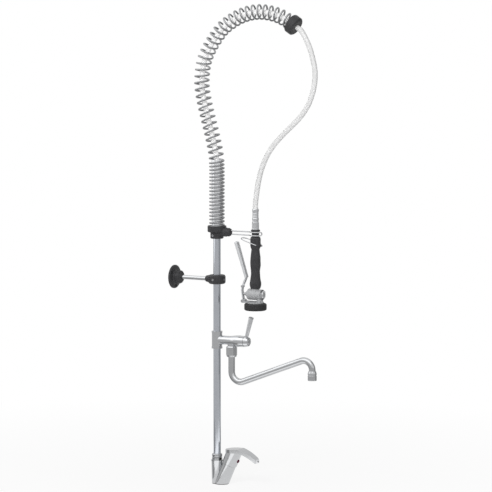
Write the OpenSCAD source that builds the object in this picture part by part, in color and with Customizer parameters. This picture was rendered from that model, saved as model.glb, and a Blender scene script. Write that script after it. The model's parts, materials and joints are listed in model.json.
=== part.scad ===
// Pre-rinse faucet: deck mixer, riser column with a side tap and swivel spout,
// a sprung hose that arches over, and a hand spray that hangs in a wire hook.
// Millimetres, +Z up, +X from the wall towards the user. Origin: middle of the mixer's foot.

/* [Mixer] */
// Diameter of the leaning cartridge barrel
mixer_d = 34; // [32:0.5:36]
// Lean of the barrel towards the user, degrees
mixer_lean = 24; // [18:1:28]
// Length of the barrel along its axis
mixer_len = 55; // [50:1:60]
// Diameter of the lever's hood
hood_d = 37.4; // [36.5:0.1:39]
// Width of the paddle at its tip
paddle_tip_w = 23; // [16:1:28]

/* [Riser] */
// Place of the riser in front of the origin
riser_x = -9; // [-12:0.5:-6]
// Outer diameter of the riser tube
riser_d = 18; // [16:0.5:20]
// Wall of the riser tube
riser_wall = 1.5; // [1:0.1:2.5]
// Height of the tap's axis above the deck
tap_z = 352; // [300:1:400]
// Height of the wall clamp's middle
clamp_z = 499; // [470:1:530]
// Distance from the riser to the wall
wall_reach = 120; // [100:1:160]

/* [Tap and spout] */
// Distance from the riser to the spout's swivel axis
swivel_reach = 40.5; // [38:0.5:44]
// Outer diameter of the spout tube
spout_d = 16; // [14:0.5:16]
// Reach of the spout from its swivel axis
spout_reach = 220; // [180:1:260]
// Rise of the spout's long run, degrees
spout_rise = 21; // [15:1:25]

/* [Spring and hose] */
// Diameter of the spring's wire
wire_d = 4.4; // [3:0.1:4.5]
// Mean diameter of the spring's turns
coil_d = 33.5; // [32:0.5:34]
// Number of close turns round the guide
close_turns = 19; // [12:1:19]
// Number of open turns along the arch
open_turns = 36; // [24:1:40]
// Outer diameter of the hose
hose_d = 12.5; // [10:0.5:13]

/* [Handset] */
// Distance of the handset's axis in front of the origin
handset_x = 97; // [94:0.5:100]
// Height of the spray valve's axis
valve_z = 468; // [466:0.5:470]
// Diameter of the rubber bumper
bumper_d = 54; // [48:1:60]
// Diameter of the hook's wire
hook_wire_d = 3; // [2.5:0.1:3.5]

/* [Hidden] */
$fn = 64;

chrome = "Gainsboro";
steel = "Silver";
black = "DimGray";
rubber = "DarkSlateGray";
brass = "BurlyWood";
white = "WhiteSmoke";

// Radial play of a piece that turns or slides in another
run_play = 0.05;
// Gap between faces of pieces that move past each other
face_gap = 0.3;

// Unit vector along v
function unit(v) = v / norm(v);

// Points of a smooth curve through p, with the given number of steps between two of them
function spline_at(a, b, c, d, t) =
  b + t * (c - a) / 2 + t * t * (2 * a - 5 * b + 4 * c - d) / 2 + t * t * t * (3 * b - a - 3 * c + d) / 2;
function spline(p, steps) = let (last = len(p) - 1) concat(
  [for (i = [0:last - 1], k = [0:steps - 1])
    spline_at(p[max(i - 1, 0)], p[i], p[i + 1], p[min(i + 2, last)], k / steps)],
  [p[last]]
);

// Length run along p at each of its points
function run_lengths(p) =
  [for (i = 0, s = 0; i < len(p); s = i + 1 < len(p) ? s + norm(p[i + 1] - p[i]) : s, i = i + 1) s];

// Table that looks up one coordinate of a curve by the length run along it
function run_table(p, axis) = let (s = run_lengths(p)) [for (i = [0:len(p) - 1]) [s[i], p[i][axis]]];

// Ring of n points of radius r about c, in the plane of the unit vectors u and v
function ring(c, u, v, r, n) =
  [for (i = [0:n - 1]) let (a = 360 * i / n) c + r * cos(a) * u + r * sin(a) * v];

// Direction of travel at point i of a list of points
function heading(p, i) = unit(p[min(i + 1, len(p) - 1)] - p[max(i - 1, 0)]);

// Closed skin of triangles over a row of rings, with flat ends
module skin(rings) {
  n = len(rings[0]);
  last = n * (len(rings) - 1);
  sides = [for (k = [0:len(rings) - 2], i = [0:n - 1])
    let (a = k * n + i, b = k * n + (i + 1) % n) each [[a, a + n, b + n], [a, b + n, b]]];
  ends = [for (i = [1:n - 2]) each [[0, i, i + 1], [last, last + i + 1, last + i]]];
  polyhedron([for (r = rings) each r], concat(sides, ends));
}

// Round solid tube along a route [x, z] in the upright middle plane, ringed about every pace
module route_tube(route, d, pace, sides) {
  fine = spline(route, 12);
  total = run_lengths(fine)[len(fine) - 1];
  x_at = run_table(fine, 0);
  z_at = run_table(fine, 1);
  count = round(total / pace);
  path = [for (k = [0:count]) let (s = total * k / count) [lookup(s, x_at), 0, lookup(s, z_at)]];
  across = [0, 1, 0];
  first_way = unit(route[1] - route[0]);
  last_way = unit(route[len(route) - 1] - route[len(route) - 2]);
  ways = [for (k = [0:count]) k == 0 ? [first_way[0], 0, first_way[1]] :
    k == count ? [last_way[0], 0, last_way[1]] : heading(path, k)];
  skin([for (k = [0:count]) ring(path[k], across, cross(ways[k], across), d / 2, sides)]);
}

// Wire wound along a list of points, each ring square to the wire and keyed to the way out of the coil
module wound_wire(path, outward, d) {
  skin([for (k = [0:len(path) - 1])
    let (t = heading(path, k), o = outward[k], u = unit(o - (o * t) * t)) ring(path[k], u, cross(t, u), d / 2, 6)]);
}

// Hollow cylinder
module sleeve(r_out, r_in, h) {
  difference() {
    cylinder(r = r_out, h = h);
    translate([0, 0, -1]) cylinder(r = r_in, h = h + 2);
  }
}

// Bent round bar of radius r, from angle a0 to a1 on a circle of radius bend
module bent_bar(bend, r, a0, a1) {
  rotate([0, 0, a0]) rotate_extrude(angle = a1 - a0) translate([bend, 0]) circle(r = r);
}

// Lengths of bent tube run a little way into each other, and each bend is a hair fuller than what enters it
lap = 0.4;
swell = 0.03;
function lap_angle(bend) = lap / bend * 180 / PI;

// Straight round bar along +Z that laps into its neighbours at both ends
module lapped_bar(r, h) {
  translate([0, 0, -lap]) cylinder(r = r, h = h + 2 * lap);
}

// Places children on an axis that runs along +X at height z from x
module along_x(x, z) {
  translate([x, 0, z]) rotate([0, 90, 0]) children();
}

// Points of an arc about c of radius r from angle a0 to a1
function arc(c, r, a0, a1, n) = [for (i = [0:n]) let (a = a0 + (a1 - a0) * i / n) c + r * [cos(a), sin(a)]];

// Mixer: heights marked _l run along the leaning axis from the deck
mixer_x = 3;
gasket_t = 1.5;
boss_r0 = 12.7;
boss_r1 = 14.2;
boss_top = 56;
flange_t = 2.5;
nipple_r = 10.9;
nipple_top = 65;
riser_foot = 46;
cartridge_r = 12.5;
cartridge_l = 24;
cartridge_top_l = 46;
ring_nut_r = 14;
tilt_l = 52;
carrier_r = 8.5;
carrier_top_l = 56;
stem_w = 7;
stem_t = 6;
hood_l = 56;
hood_wall = 1.2;
hood_roof_l = 67;
inlet_x = 7;
inlet_y = 7.5;
inlet_r = 4.5;
stud_x = -11;
stud_r = 3.4;
thread_depth = 13;

// Places children on the mixer's leaning axis
module on_mixer_axis(l = 0) {
  translate([mixer_x, 0, 0]) rotate([0, mixer_lean, 0]) translate([0, 0, l]) children();
}

// Solid outline of the casting, drawn in by inset
module mixer_outline(inset) {
  on_mixer_axis(-20) cylinder(d = mixer_d - 2 * inset, h = mixer_len + 20);
  translate([riser_x, 0, 0]) cylinder(r1 = boss_r0 - inset, r2 = boss_r1 - inset, h = boss_top);
}

// Holes that come up through the foot: two inlets and the fixing stud
module foot_holes(play, depth) {
  for (side = [-1, 1]) translate([inlet_x, side * inlet_y, -1]) cylinder(r = inlet_r + play, h = depth + 1);
  translate([stud_x, 0, -1]) cylinder(r = stud_r + play, h = depth + 1);
}

module mixer_body() color(chrome) difference() {
  union() {
    intersection() {
      mixer_outline(0);
      translate([-100, -100, gasket_t]) cube(200);
    }
    translate([riser_x, 0, boss_top]) cylinder(r = boss_r1 + 0.8, h = flange_t);
    translate([riser_x, 0, boss_top]) cylinder(r = nipple_r, h = nipple_top - boss_top);
  }
  translate([riser_x, 0, riser_foot]) cylinder(d = riser_d + 0.1, h = 100);
  translate([riser_x, 0, 18]) cylinder(r = 5.5, h = 60);
  along_x(riser_x, 21) cylinder(r = 2.5, h = 20);
  on_mixer_axis(cartridge_l) cylinder(r = cartridge_r + 0.1, h = 60);
  on_mixer_axis(cartridge_top_l) cylinder(r = ring_nut_r + 0.1, h = 60);
  foot_holes(0, gasket_t + thread_depth);
  for (side = [-1, 1]) translate([inlet_x, side * inlet_y, 0]) cylinder(r = 2, h = 30);
}

module base_gasket() color(rubber) difference() {
  intersection() {
    mixer_outline(0.6);
    translate([-100, -100, 0]) cube([200, 200, gasket_t]);
  }
  foot_holes(1, 5);
}

module cartridge_body() color(white) on_mixer_axis() difference() {
  translate([0, 0, cartridge_l]) cylinder(r = cartridge_r, h = cartridge_top_l - cartridge_l);
  translate([0, 0, 38]) cylinder(r = carrier_r + run_play, h = 20);
  translate([0, 0, 30]) cylinder(r = 5.5, h = 20);
}

module cartridge_nut() color(brass) on_mixer_axis(cartridge_top_l) difference() {
  cylinder(r = ring_nut_r, h = 6);
  translate([0, 0, -1]) cylinder(r = carrier_r + run_play, h = 8);
  for (a = [0:90:270]) rotate([0, 0, a]) translate([10.5, -1.5, 4]) cube([10, 3, 5]);
}

module spindle_carrier() color(white) on_mixer_axis() difference() {
  translate([0, 0, 38 + face_gap]) cylinder(r = carrier_r, h = carrier_top_l - 38 - face_gap);
  translate([-20, -stem_w / 2 - face_gap, 40]) cube([40, stem_w + 2 * face_gap, 20]);
  translate([0, 0, tilt_l]) rotate([90, 0, 0]) cylinder(r = 1.5, h = 40, center = true);
}

module tilt_pin() color(steel) on_mixer_axis(tilt_l) rotate([90, 0, 0]) cylinder(r = 1.5, h = 14, center = true);

module cartridge_stem() color(brass) on_mixer_axis() difference() {
  union() {
    translate([-stem_t / 2, -stem_w / 2, tilt_l]) cube([stem_t, stem_w, 24]);
    translate([0, 0, tilt_l]) rotate([90, 0, 0]) cylinder(r = 3.4, h = stem_w, center = true);
    translate([-2, -stem_w / 2, 42]) cube([4, stem_w, tilt_l - 42]);
  }
  translate([0, 0, tilt_l]) rotate([90, 0, 0]) cylinder(r = 1.5 + run_play, h = 40, center = true);
}

// Paddle: the top follows one arc from the kink to the tip
lid_z = 88;
kink = [56, 89.5];
paddle_arc_r = 130;
paddle_arc_c = kink - paddle_arc_r * [cos(75), sin(75)];
paddle_t = 8;
paddle_end_a = 51;
nose_c = paddle_arc_c + (paddle_arc_r - paddle_t / 2) * [cos(paddle_end_a), sin(paddle_end_a)];
lid_c = 37.6;
lid_r = 20.4;
lid_back = 16;
grub_l = 72;
grub_r = 2.5;
plug_r = 3.9;

// Side outline of lid and paddle, [x, z]
module paddle_side() {
  polygon(concat(
    [[lid_back, lid_z - 8], [lid_back, lid_z - 0.5]],
    arc(paddle_arc_c, paddle_arc_r, 75, paddle_end_a, 12),
    arc(nose_c, paddle_t / 2, paddle_end_a, paddle_end_a - 180, 8),
    arc(paddle_arc_c, paddle_arc_r - paddle_t, paddle_end_a, 72, 10),
    [[50, lid_z - 8]]
  ));
}

// Plan of lid and paddle, [x, y]
module paddle_plan() {
  tip_r = paddle_tip_w / 2;
  tip_x = nose_c[0] + paddle_t / 2 - tip_r;
  translate([lid_c, 0]) circle(r = lid_r);
  translate([tip_x, 0]) circle(r = tip_r);
  polygon([[lid_c, 0.5 - lid_r], [lid_c, lid_r - 0.5], [tip_x, tip_r], [tip_x, -tip_r]]);
}

module mixer_lever() color(chrome) difference() {
  union() {
    intersection() {
      on_mixer_axis(hood_l) cylinder(d = hood_d, h = 60);
      translate([-100, -100, 0]) cube([200, 200, lid_z - 1]);
    }
    intersection() {
      rotate([90, 0, 0]) linear_extrude(height = 60, center = true) paddle_side();
      linear_extrude(height = 120) paddle_plan();
    }
  }
  on_mixer_axis(hood_l - 1) cylinder(d = hood_d - 2 * hood_wall, h = hood_roof_l - hood_l + 1);
  on_mixer_axis(hood_l - 1) translate([-stem_t / 2 - 0.05, -stem_w / 2 - 0.05, 0]) cube([stem_t + 0.1, stem_w + 0.1, 21.2]);
  on_mixer_axis(grub_l) rotate([0, 90, 0]) cylinder(r = grub_r, h = 40);
  on_mixer_axis(grub_l) translate([14, 0, 0]) rotate([0, 90, 0]) cylinder(r = plug_r + 0.05, h = 40);
  on_mixer_axis(hood_l - 1) translate([-40, -12, 0]) cube([28, 24, 7]);
}

module lever_screw() color(steel) on_mixer_axis(grub_l) difference() {
  translate([stem_t / 2, 0, 0]) rotate([0, 90, 0]) cylinder(r = grub_r - 0.05, h = 9);
  translate([9, 0, 0]) rotate([0, 90, 0]) cylinder(r = 1.2, h = 9, $fn = 6);
}

module index_plug() color("FireBrick") on_mixer_axis(grub_l) translate([14, 0, 0]) rotate([0, 90, 0]) {
  cylinder(r = plug_r, h = 4.6);
  translate([0, 0, 4.6]) cylinder(r1 = plug_r, r2 = plug_r - 0.6, h = 0.6);
}

// Riser column
tee_half = 21;
tee_r = 12.5;
tee_collar_r = 13.2;
tee_collar_h = 4;
socket_depth = 11;
riser_top = 640;
o_ring_h = 2.4;
o_ring_r = 10.6;
union_nut_r = 12.5;
union_nut_z = 58.8;
union_nut_top = 73.5;

module riser_union_nut() color(chrome) translate([riser_x, 0, 0]) difference() {
  rotate_extrude() polygon([
    [riser_d / 2 + 0.1, union_nut_z], [union_nut_r, union_nut_z], [union_nut_r, 64.5], [union_nut_r - 1.2, 65.2],
    [union_nut_r, 66], [union_nut_r, union_nut_top - 1.5], [union_nut_r - 1.5, union_nut_top],
    [riser_d / 2 + 0.1, union_nut_top]
  ]);
  translate([0, 0, union_nut_z - 1]) cylinder(r = nipple_r + 0.05, h = nipple_top + 2.2 - union_nut_z + 1);
}

module riser_seal() color(rubber) translate([riser_x, 0, nipple_top]) sleeve(nipple_r, riser_d / 2 + 0.05, 2.2);

// Length of riser tube from z0 to z1
module riser(z0, z1) {
  color(steel) translate([riser_x, 0, z0]) sleeve(riser_d / 2, riser_d / 2 - riser_wall, z1 - z0);
}

module lower_riser() riser(riser_foot, tap_z - tee_half + socket_depth);

module upper_riser() riser(tap_z + tee_half - socket_depth, riser_top);

// Tap barrel: distances marked _b run from the riser's axis along +X
barrel_end_b = 77;
barrel_r0 = 10.7;
barrel_r1 = 13.8;
headwork_b = 28;
headwork_r = 9;
hub_end_b = 88;
neck_r = 9.6;
spout_thread_r = 10.3;
spout_thread_z = 318;
spout_nut_top = 338.6;
spout_nut_z = 313.2;
spout_nut_r = 13.2;

// Barrel outline, revolved about the tap's axis: slim at the riser, fullest near the hub
module barrel_side() {
  polygon(concat(
    [[0, 0], [barrel_r0, 0], [barrel_r0, 30]],
    [for (t = [0.1:0.1:1]) [barrel_r0 + (barrel_r1 - barrel_r0) * (1 - cos(180 * t)) / 2, 30 + 34 * t]],
    [[barrel_r1 - 0.7, barrel_end_b], [0, barrel_end_b]]
  ));
}

module tee_body() color(chrome) difference() {
  union() {
    translate([riser_x, 0, tap_z - tee_half]) cylinder(r = tee_r, h = 2 * tee_half);
    for (side = [0, 1]) translate([riser_x, 0, tap_z - tee_half + side * (2 * tee_half - tee_collar_h)])
      cylinder(r = tee_collar_r, h = tee_collar_h);
    along_x(riser_x, tap_z) rotate_extrude() barrel_side();
    translate([riser_x + swivel_reach, 0, spout_nut_top - 2]) cylinder(r = neck_r, h = tap_z - spout_nut_top);
    translate([riser_x + swivel_reach, 0, spout_thread_z]) cylinder(r = spout_thread_r, h = spout_nut_top - spout_thread_z);
  }
  for (side = [-1, 1]) translate([riser_x, 0, tap_z + side * tee_half]) {
    cylinder(d = riser_d + 0.1, h = 2 * socket_depth, center = true);
    translate([0, 0, -side * 5]) cylinder(r = o_ring_r, h = o_ring_h, center = true);
  }
  translate([riser_x, 0, tap_z]) cylinder(d = riser_d - 2 * riser_wall, h = 2 * tee_half, center = true);
  along_x(riser_x, tap_z) cylinder(r = 4.5, h = 50);
  along_x(riser_x + headwork_b, tap_z) cylinder(r = headwork_r + 0.05, h = 60);
  translate([riser_x + swivel_reach, 0, 300]) cylinder(r = spout_d / 2 + run_play, h = 336 - 300);
  translate([riser_x + swivel_reach, 0, 300]) cylinder(r = 5, h = tap_z - 300);
  translate([riser_x + swivel_reach, 0, 324]) cylinder(r = spout_d / 2 + 1.6, h = o_ring_h);
}

module tee_seals() color(rubber) for (side = [-1, 1])
  translate([riser_x, 0, tap_z + side * (tee_half - 5) - o_ring_h / 2 + 0.05])
    sleeve(o_ring_r - 0.05, riser_d / 2 + 0.02, o_ring_h - 0.1);

module valve_headwork() color(brass) along_x(riser_x, tap_z) difference() {
  union() {
    translate([0, 0, headwork_b]) cylinder(r = 7, h = 24);
    translate([0, 0, 52]) cylinder(r = headwork_r, h = barrel_end_b - 52);
  }
  translate([0, 0, 46]) cylinder(r = 4 + run_play, h = 60);
  translate([0, 0, headwork_b - 1]) cylinder(r = 3.5, h = 60);
  translate([0, 0, 40]) rotate([90, 0, 0]) cylinder(r = 2.5, h = 40, center = true);
}

module valve_spindle() color(brass) along_x(riser_x, tap_z) {
  translate([0, 0, 46 + face_gap]) cylinder(r = 4, h = 33);
  translate([0, 0, 46 + face_gap + 33]) cylinder(r = 3.2, h = 6, $fn = 8);
}

// Turning hub: fullest at the seam, drawn in to a rounded end
lever_b = 78.6;
lever_tilt = 15;
lever_foot = 9;
lever_seat = 13;
lever_len = 46;

module valve_hub() color(chrome) along_x(riser_x, tap_z) difference() {
  rotate_extrude() polygon([
    [0, barrel_end_b + face_gap], [barrel_r1 - 0.8, barrel_end_b + face_gap], [12.3, 82], [11.4, 85.5],
    [10.2, hub_end_b], [7.5, hub_end_b], [7.5, hub_end_b - 1.2], [0, hub_end_b - 1.2]
  ]);
  translate([0, 0, barrel_end_b]) cylinder(r = 4.1, h = 46 + face_gap + 33 - barrel_end_b + 0.05);
  translate([0, 0, barrel_end_b]) cylinder(r = 3.25, h = 8.5, $fn = 8);
  translate([0, 0, lever_b]) rotate([0, -90 + lever_tilt, 0]) translate([0, 0, lever_foot]) cylinder(r = 2.5, h = 20);
}

// Places children on the tap lever's axis
module on_tap_lever() {
  translate([riser_x + lever_b, 0, tap_z]) rotate([0, lever_tilt, 0]) children();
}

module valve_lever() color(chrome) on_tap_lever() {
  translate([0, 0, lever_foot + 0.1]) cylinder(r = 2.45, h = lever_seat - lever_foot);
  translate([0, 0, lever_seat]) cylinder(r1 = 4.2, r2 = 5.8, h = lever_len);
}

module valve_lever_cap() color(chrome) on_tap_lever() translate([0, 0, lever_seat + lever_len]) {
  cylinder(r = 6.2, h = 2);
  translate([0, 0, 2]) cylinder(r1 = 6.2, r2 = 5.2, h = 1);
}

module hub_cap() color(chrome) along_x(riser_x + hub_end_b - 1.2, tap_z) {
  cylinder(r = 7.4, h = 1.6);
  translate([0, 0, 1.6]) cylinder(r1 = 7.4, r2 = 5, h = 1.2);
}

// Spout: a drop, a tight bend, a long rising run and a bend down to the outlet
spout_r = spout_d / 2;
spout_x = riser_x + swivel_reach;
outlet_x = spout_x + spout_reach;
spout_top = 334;
low_bend_z = 277;
low_bend_r = 24;
high_bend_r = 22;
spout_bore_r = spout_r - 1.2;
run_start = [spout_x + low_bend_r + low_bend_r * sin(spout_rise), low_bend_z - low_bend_r * cos(spout_rise)];
run_end_x = outlet_x - high_bend_r - high_bend_r * sin(spout_rise);
run_len = (run_end_x - run_start[0]) / cos(spout_rise);
high_bend_z = run_start[1] + run_len * sin(spout_rise) - high_bend_r * cos(spout_rise);
spout_end_z = high_bend_z - 9;
aerator_r = 10.8;
aerator_z = 270;

// The spout's bar along its whole run, of radius r
module spout_bar(r) {
  translate([spout_x, 0, low_bend_z - lap]) cylinder(r = r, h = spout_top - low_bend_z + lap);
  translate([spout_x + low_bend_r, 0, low_bend_z]) rotate([90, 0, 0])
    bent_bar(low_bend_r, r + swell, 180, 270 + spout_rise);
  translate([run_start[0], 0, run_start[1]]) rotate([0, 90 - spout_rise, 0]) lapped_bar(r, run_len);
  translate([outlet_x - high_bend_r, 0, high_bend_z]) rotate([90, 0, 0])
    bent_bar(high_bend_r, r + swell, 0, 90 + spout_rise);
  translate([outlet_x, 0, spout_end_z]) cylinder(r = r, h = high_bend_z - spout_end_z + lap);
}

module spout_tube() color(chrome) difference() {
  spout_bar(spout_r);
  translate([spout_x, 0, low_bend_z + 1]) cylinder(r = spout_bore_r, h = 100);
  translate([outlet_x, 0, spout_end_z - 1]) cylinder(r = spout_bore_r, h = 9);
}

module spout_nut() color(chrome) translate([spout_x, 0, 0]) difference() {
  union() {
    translate([0, 0, spout_nut_z + 4]) cylinder(r = spout_nut_r + 0.6, h = spout_nut_top - spout_nut_z - 6, $fn = 8);
    rotate_extrude() polygon([
      [0, spout_nut_z], [11.6, spout_nut_z], [spout_nut_r - 0.5, spout_nut_z + 4],
      [spout_nut_r - 0.5, spout_nut_top - 2], [11.6, spout_nut_top], [0, spout_nut_top]
    ]);
  }
  translate([0, 0, spout_nut_z - 1]) cylinder(r = spout_r + face_gap, h = 40);
  translate([0, 0, spout_nut_z + 2]) cylinder(r = spout_thread_r + 0.05, h = 40);
}

module spout_collar() color(brass) translate([spout_x, 0, spout_nut_z + 2 + face_gap])
  sleeve(spout_thread_r - 0.25, spout_r + 0.01, spout_thread_z - spout_nut_z - 2 - 2 * face_gap);

module spout_seal() color(rubber) translate([spout_x, 0, 324.05]) sleeve(spout_r + 1.55, spout_r + run_play, o_ring_h - 0.1);

module aerator_housing() color(chrome) translate([outlet_x, 0, 0]) difference() {
  rotate_extrude() polygon([
    [0, aerator_z], [aerator_r - 0.6, aerator_z], [aerator_r, aerator_z + 0.8], [aerator_r, aerator_z + 12],
    [aerator_r - 0.8, aerator_z + 12.6], [aerator_r - 0.8, aerator_z + 13.6], [aerator_r, aerator_z + 14.2],
    [aerator_r, aerator_z + 17], [spout_r + 0.9, aerator_z + 23], [0, aerator_z + 23]
  ]);
  translate([0, 0, spout_end_z]) cylinder(r = spout_r + 0.05, h = 50);
  translate([0, 0, aerator_z + 9]) cylinder(r = 6, h = 50);
  translate([0, 0, aerator_z - 1]) cylinder(r = 8.2, h = 11);
}

module aerator_insert() color(white) translate([outlet_x, 0, aerator_z + 1]) difference() {
  cylinder(r = 8.1, h = 8.9);
  for (r = [2.4, 5.2], k = [0:r > 3 ? 11 : 5]) rotate([0, 0, k * (r > 3 ? 30 : 60)])
    translate([r, 0, -1]) cylinder(r = 0.8, h = 12);
}

// Wall support: distances marked _w run from the riser's axis towards the wall
clamp_r = 20.8;
clamp_h = 22;
clamp_round = 5;
rod_r = 5;
rod_start_w = 12.5;
rod_boss_w = 30;
flange_w = wall_reach;
flange_r = 28.5;
flange_hub_r = 15.5;
flange_depth = 21;
flange_screw_pcd = 44;
flange_screw_r = 2.25;
set_screw_r = 2.5;
clamp_screw_turn = [-92, -4];

// Places children on the wall support's axis, looking towards the wall
module towards_wall(w) {
  translate([riser_x - w, 0, clamp_z]) rotate([0, -90, 0]) children();
}

// Set screw with a socket, between radius r0 and r1 round the riser at height z
module set_screw(z, turn, r0, r1) {
  translate([riser_x, 0, z]) rotate([0, 0, turn]) rotate([0, 90, 0]) difference() {
    translate([0, 0, r0]) cylinder(r = set_screw_r, h = r1 - r0);
    translate([0, 0, r1 - 2.5]) cylinder(r = 1.4, h = 5, $fn = 6);
  }
}

// Hole for such a screw
module set_screw_hole(z, turn) {
  translate([riser_x, 0, z]) rotate([0, 0, turn]) rotate([0, 90, 0]) cylinder(r = set_screw_r + 0.05, h = 40);
}

module wall_clamp() color(black) difference() {
  union() {
    translate([riser_x, 0, clamp_z]) rotate_extrude() polygon(concat(
      [[0, -clamp_h / 2]],
      arc([clamp_r - clamp_round, clamp_round - clamp_h / 2], clamp_round, -90, 0, 5),
      arc([clamp_r - clamp_round, clamp_h / 2 - clamp_round], clamp_round, 0, 90, 5),
      [[0, clamp_h / 2]]
    ));
    towards_wall(10) cylinder(r1 = 12, r2 = 7.5, h = rod_boss_w - 11);
    towards_wall(rod_boss_w - 1) cylinder(r1 = 7.5, r2 = 6.5, h = 1);
  }
  translate([riser_x, 0, 0]) cylinder(r = riser_d / 2 + run_play, h = 700);
  towards_wall(rod_start_w) cylinder(r = rod_r + 0.05, h = 40);
  for (turn = clamp_screw_turn) set_screw_hole(clamp_z, turn);
}

module clamp_screws() color(steel) for (turn = clamp_screw_turn) set_screw(clamp_z, turn, riser_d / 2 + 0.4, clamp_r - 0.3);

module wall_rod() color(chrome) towards_wall(rod_start_w) cylinder(r = rod_r, h = flange_w - 6 - rod_start_w);

module wall_flange() color(black) towards_wall(flange_w - flange_depth) difference() {
  union() {
    rotate_extrude() polygon([
      [0, 0], [flange_hub_r - 1.5, 0], [flange_hub_r, 1.5], [flange_hub_r, 13], [flange_hub_r + 1.5, 15],
      [flange_r - 1.5, 16.5], [flange_r, 18], [flange_r, flange_depth], [0, flange_depth]
    ]);
    for (k = [0:7]) rotate([0, 0, k * 45]) translate([flange_hub_r - 2, -1, 3]) cube([2.8, 2, 9]);
  }
  translate([0, 0, -1]) cylinder(r = rod_r + 0.05, h = flange_depth - 5);
  translate([0, 0, flange_depth - 2.2]) cylinder(r = 17, h = 5);
  for (k = [0:2]) rotate([0, 0, 60 + k * 120]) translate([flange_screw_pcd / 2, 0, -1]) {
    cylinder(r = flange_screw_r, h = 40);
    cylinder(r = 4, h = flange_depth - 3);
  }
}

// Spring column: the cup that carries the spring, the arm of the hook, and the arch
cup_floor = 617;
cup_z = 613.7;
cup_top = 629;
cup_r = 22.8;
cup_bore_r = 19.4;
cup_ring_z = 598;
cup_ring_r = 16;
cup_screw_turn = -104;
cup_screw_z = 605.5;
arm_z = 614.5;
arm_end = 37.5;
hook_wire_r = hook_wire_d / 2;
hook_top_z = 618.2;
hook_low_z = 610.2;
hook_socket = 12;
guide_r = 12.8;
guide_top = 788;
nipple_z = 660;

module hook_bracket() color(black) difference() {
  union() {
    translate([riser_x, 0, 0]) rotate_extrude() polygon([
      [0, cup_ring_z], [cup_ring_r - 1.5, cup_ring_z], [cup_ring_r, cup_ring_z + 1.5], [cup_ring_r, cup_z],
      [cup_r - 1.5, cup_z], [cup_r, cup_z + 1.5], [cup_r, cup_top - 1], [cup_r - 1, cup_top], [0, cup_top]
    ]);
    along_x(riser_x, arm_z) rotate_extrude() polygon([
      [0, 8], [11.2, 8], [11.2, 26.5], [10.3, 28.5], [10.3, 34], [8.4, arm_end], [0, arm_end]
    ]);
  }
  translate([riser_x, 0, 500]) cylinder(d = riser_d + 0.1, h = 200);
  translate([riser_x, 0, cup_floor]) cylinder(r = cup_bore_r, h = 40);
  set_screw_hole(cup_screw_z, cup_screw_turn);
  for (z = [hook_low_z, hook_top_z])
    along_x(riser_x + arm_end - hook_socket, z) cylinder(r = hook_wire_r + 0.05, h = 40);
}

module bracket_screw() color(steel) set_screw(cup_screw_z, cup_screw_turn, riser_d / 2 + 0.2, cup_ring_r - 0.3);

// Hook: a hairpin of wire that runs out, steps aside, curls round the front of the neck and turns back
hook_start_x = riser_x + arm_end - hook_socket;
hook_side_y = 10.9;
hook_step_r = 14;
hook_step_a = acos(1 - hook_side_y / (2 * hook_step_r));
hook_curl_a = 320;
hook_tail = 8;
hook_curl_x = handset_x - 2 * hook_step_r * sin(hook_step_a);

// Places children at the end of the curl, with +X along the wire
module at_curl_end(z) {
  translate([handset_x, 0, z]) rotate([0, 0, hook_curl_a]) translate([hook_side_y, 0, 0]) rotate([0, 0, 90]) children();
}

// One wire of the hairpin in plan, from the arm to the end of its tail
module hook_run(z) {
  r = hook_wire_r;
  step_lap = lap_angle(hook_step_r);
  translate([hook_start_x, 0, z]) rotate([0, 90, 0]) cylinder(r = r, h = hook_curl_x - hook_start_x + lap);
  translate([hook_curl_x, -hook_step_r, z])
    bent_bar(hook_step_r, r + swell, 90 - hook_step_a - step_lap, 90);
  translate([handset_x, -hook_side_y + hook_step_r, z])
    bent_bar(hook_step_r, r + 2 * swell, 270 - hook_step_a, 270);
  translate([handset_x, 0, z])
    bent_bar(hook_side_y, r + swell, 270 - lap_angle(hook_side_y), hook_curl_a);
  at_curl_end(z) rotate([0, 90, 0]) lapped_bar(r, hook_tail);
}

module hook_wire() color(steel) {
  hook_run(hook_top_z);
  hook_run(hook_low_z);
  at_curl_end((hook_top_z + hook_low_z) / 2) translate([hook_tail, 0, 0])
    rotate([90, 0, 0]) bent_bar((hook_top_z - hook_low_z) / 2, hook_wire_r + swell, -90, 90);
}

module spring_guide() color(steel) translate([riser_x, 0, cup_floor]) sleeve(guide_r, guide_r - 2, guide_top - cup_floor);

module hose_nipple() color(brass) translate([riser_x, 0, 0]) difference() {
  union() {
    translate([0, 0, riser_top - 10]) cylinder(r = riser_d / 2 - riser_wall - 0.05, h = 12);
    translate([0, 0, riser_top]) cylinder(r = 10, h = 14, $fn = 6);
    translate([0, 0, riser_top + 14]) cylinder(r = 7, h = nipple_z - riser_top - 14);
  }
  translate([0, 0, riser_top - 11]) cylinder(r = 3.5, h = 60);
}

// Middle line of the arch, [x, z], from the cup's floor to the outer face of the spring's cap
arch_route = [
  [riser_x, cup_floor], [riser_x, 700], [riser_x, 770], [-12, 805], [-22, 848], [-35, 895], [-44, 930],
  [-49.5, 960], [-49.5, 989.5], [-43.5, 1024], [-31.5, 1051.5], [-15, 1077], [5, 1101.5], [28, 1119],
  [54, 1133], [82.5, 1142], [109, 1145], [138, 1142.5], [165.5, 1134.8], [188.5, 1122.5], [208.5, 1110]
];
hose_sides = 12;
hose_pace = 26;
cap_end = arch_route[len(arch_route) - 1];
cap_way = unit(cap_end - arch_route[len(arch_route) - 2]);
cap_dip = -atan2(cap_way[1], cap_way[0]);
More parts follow.
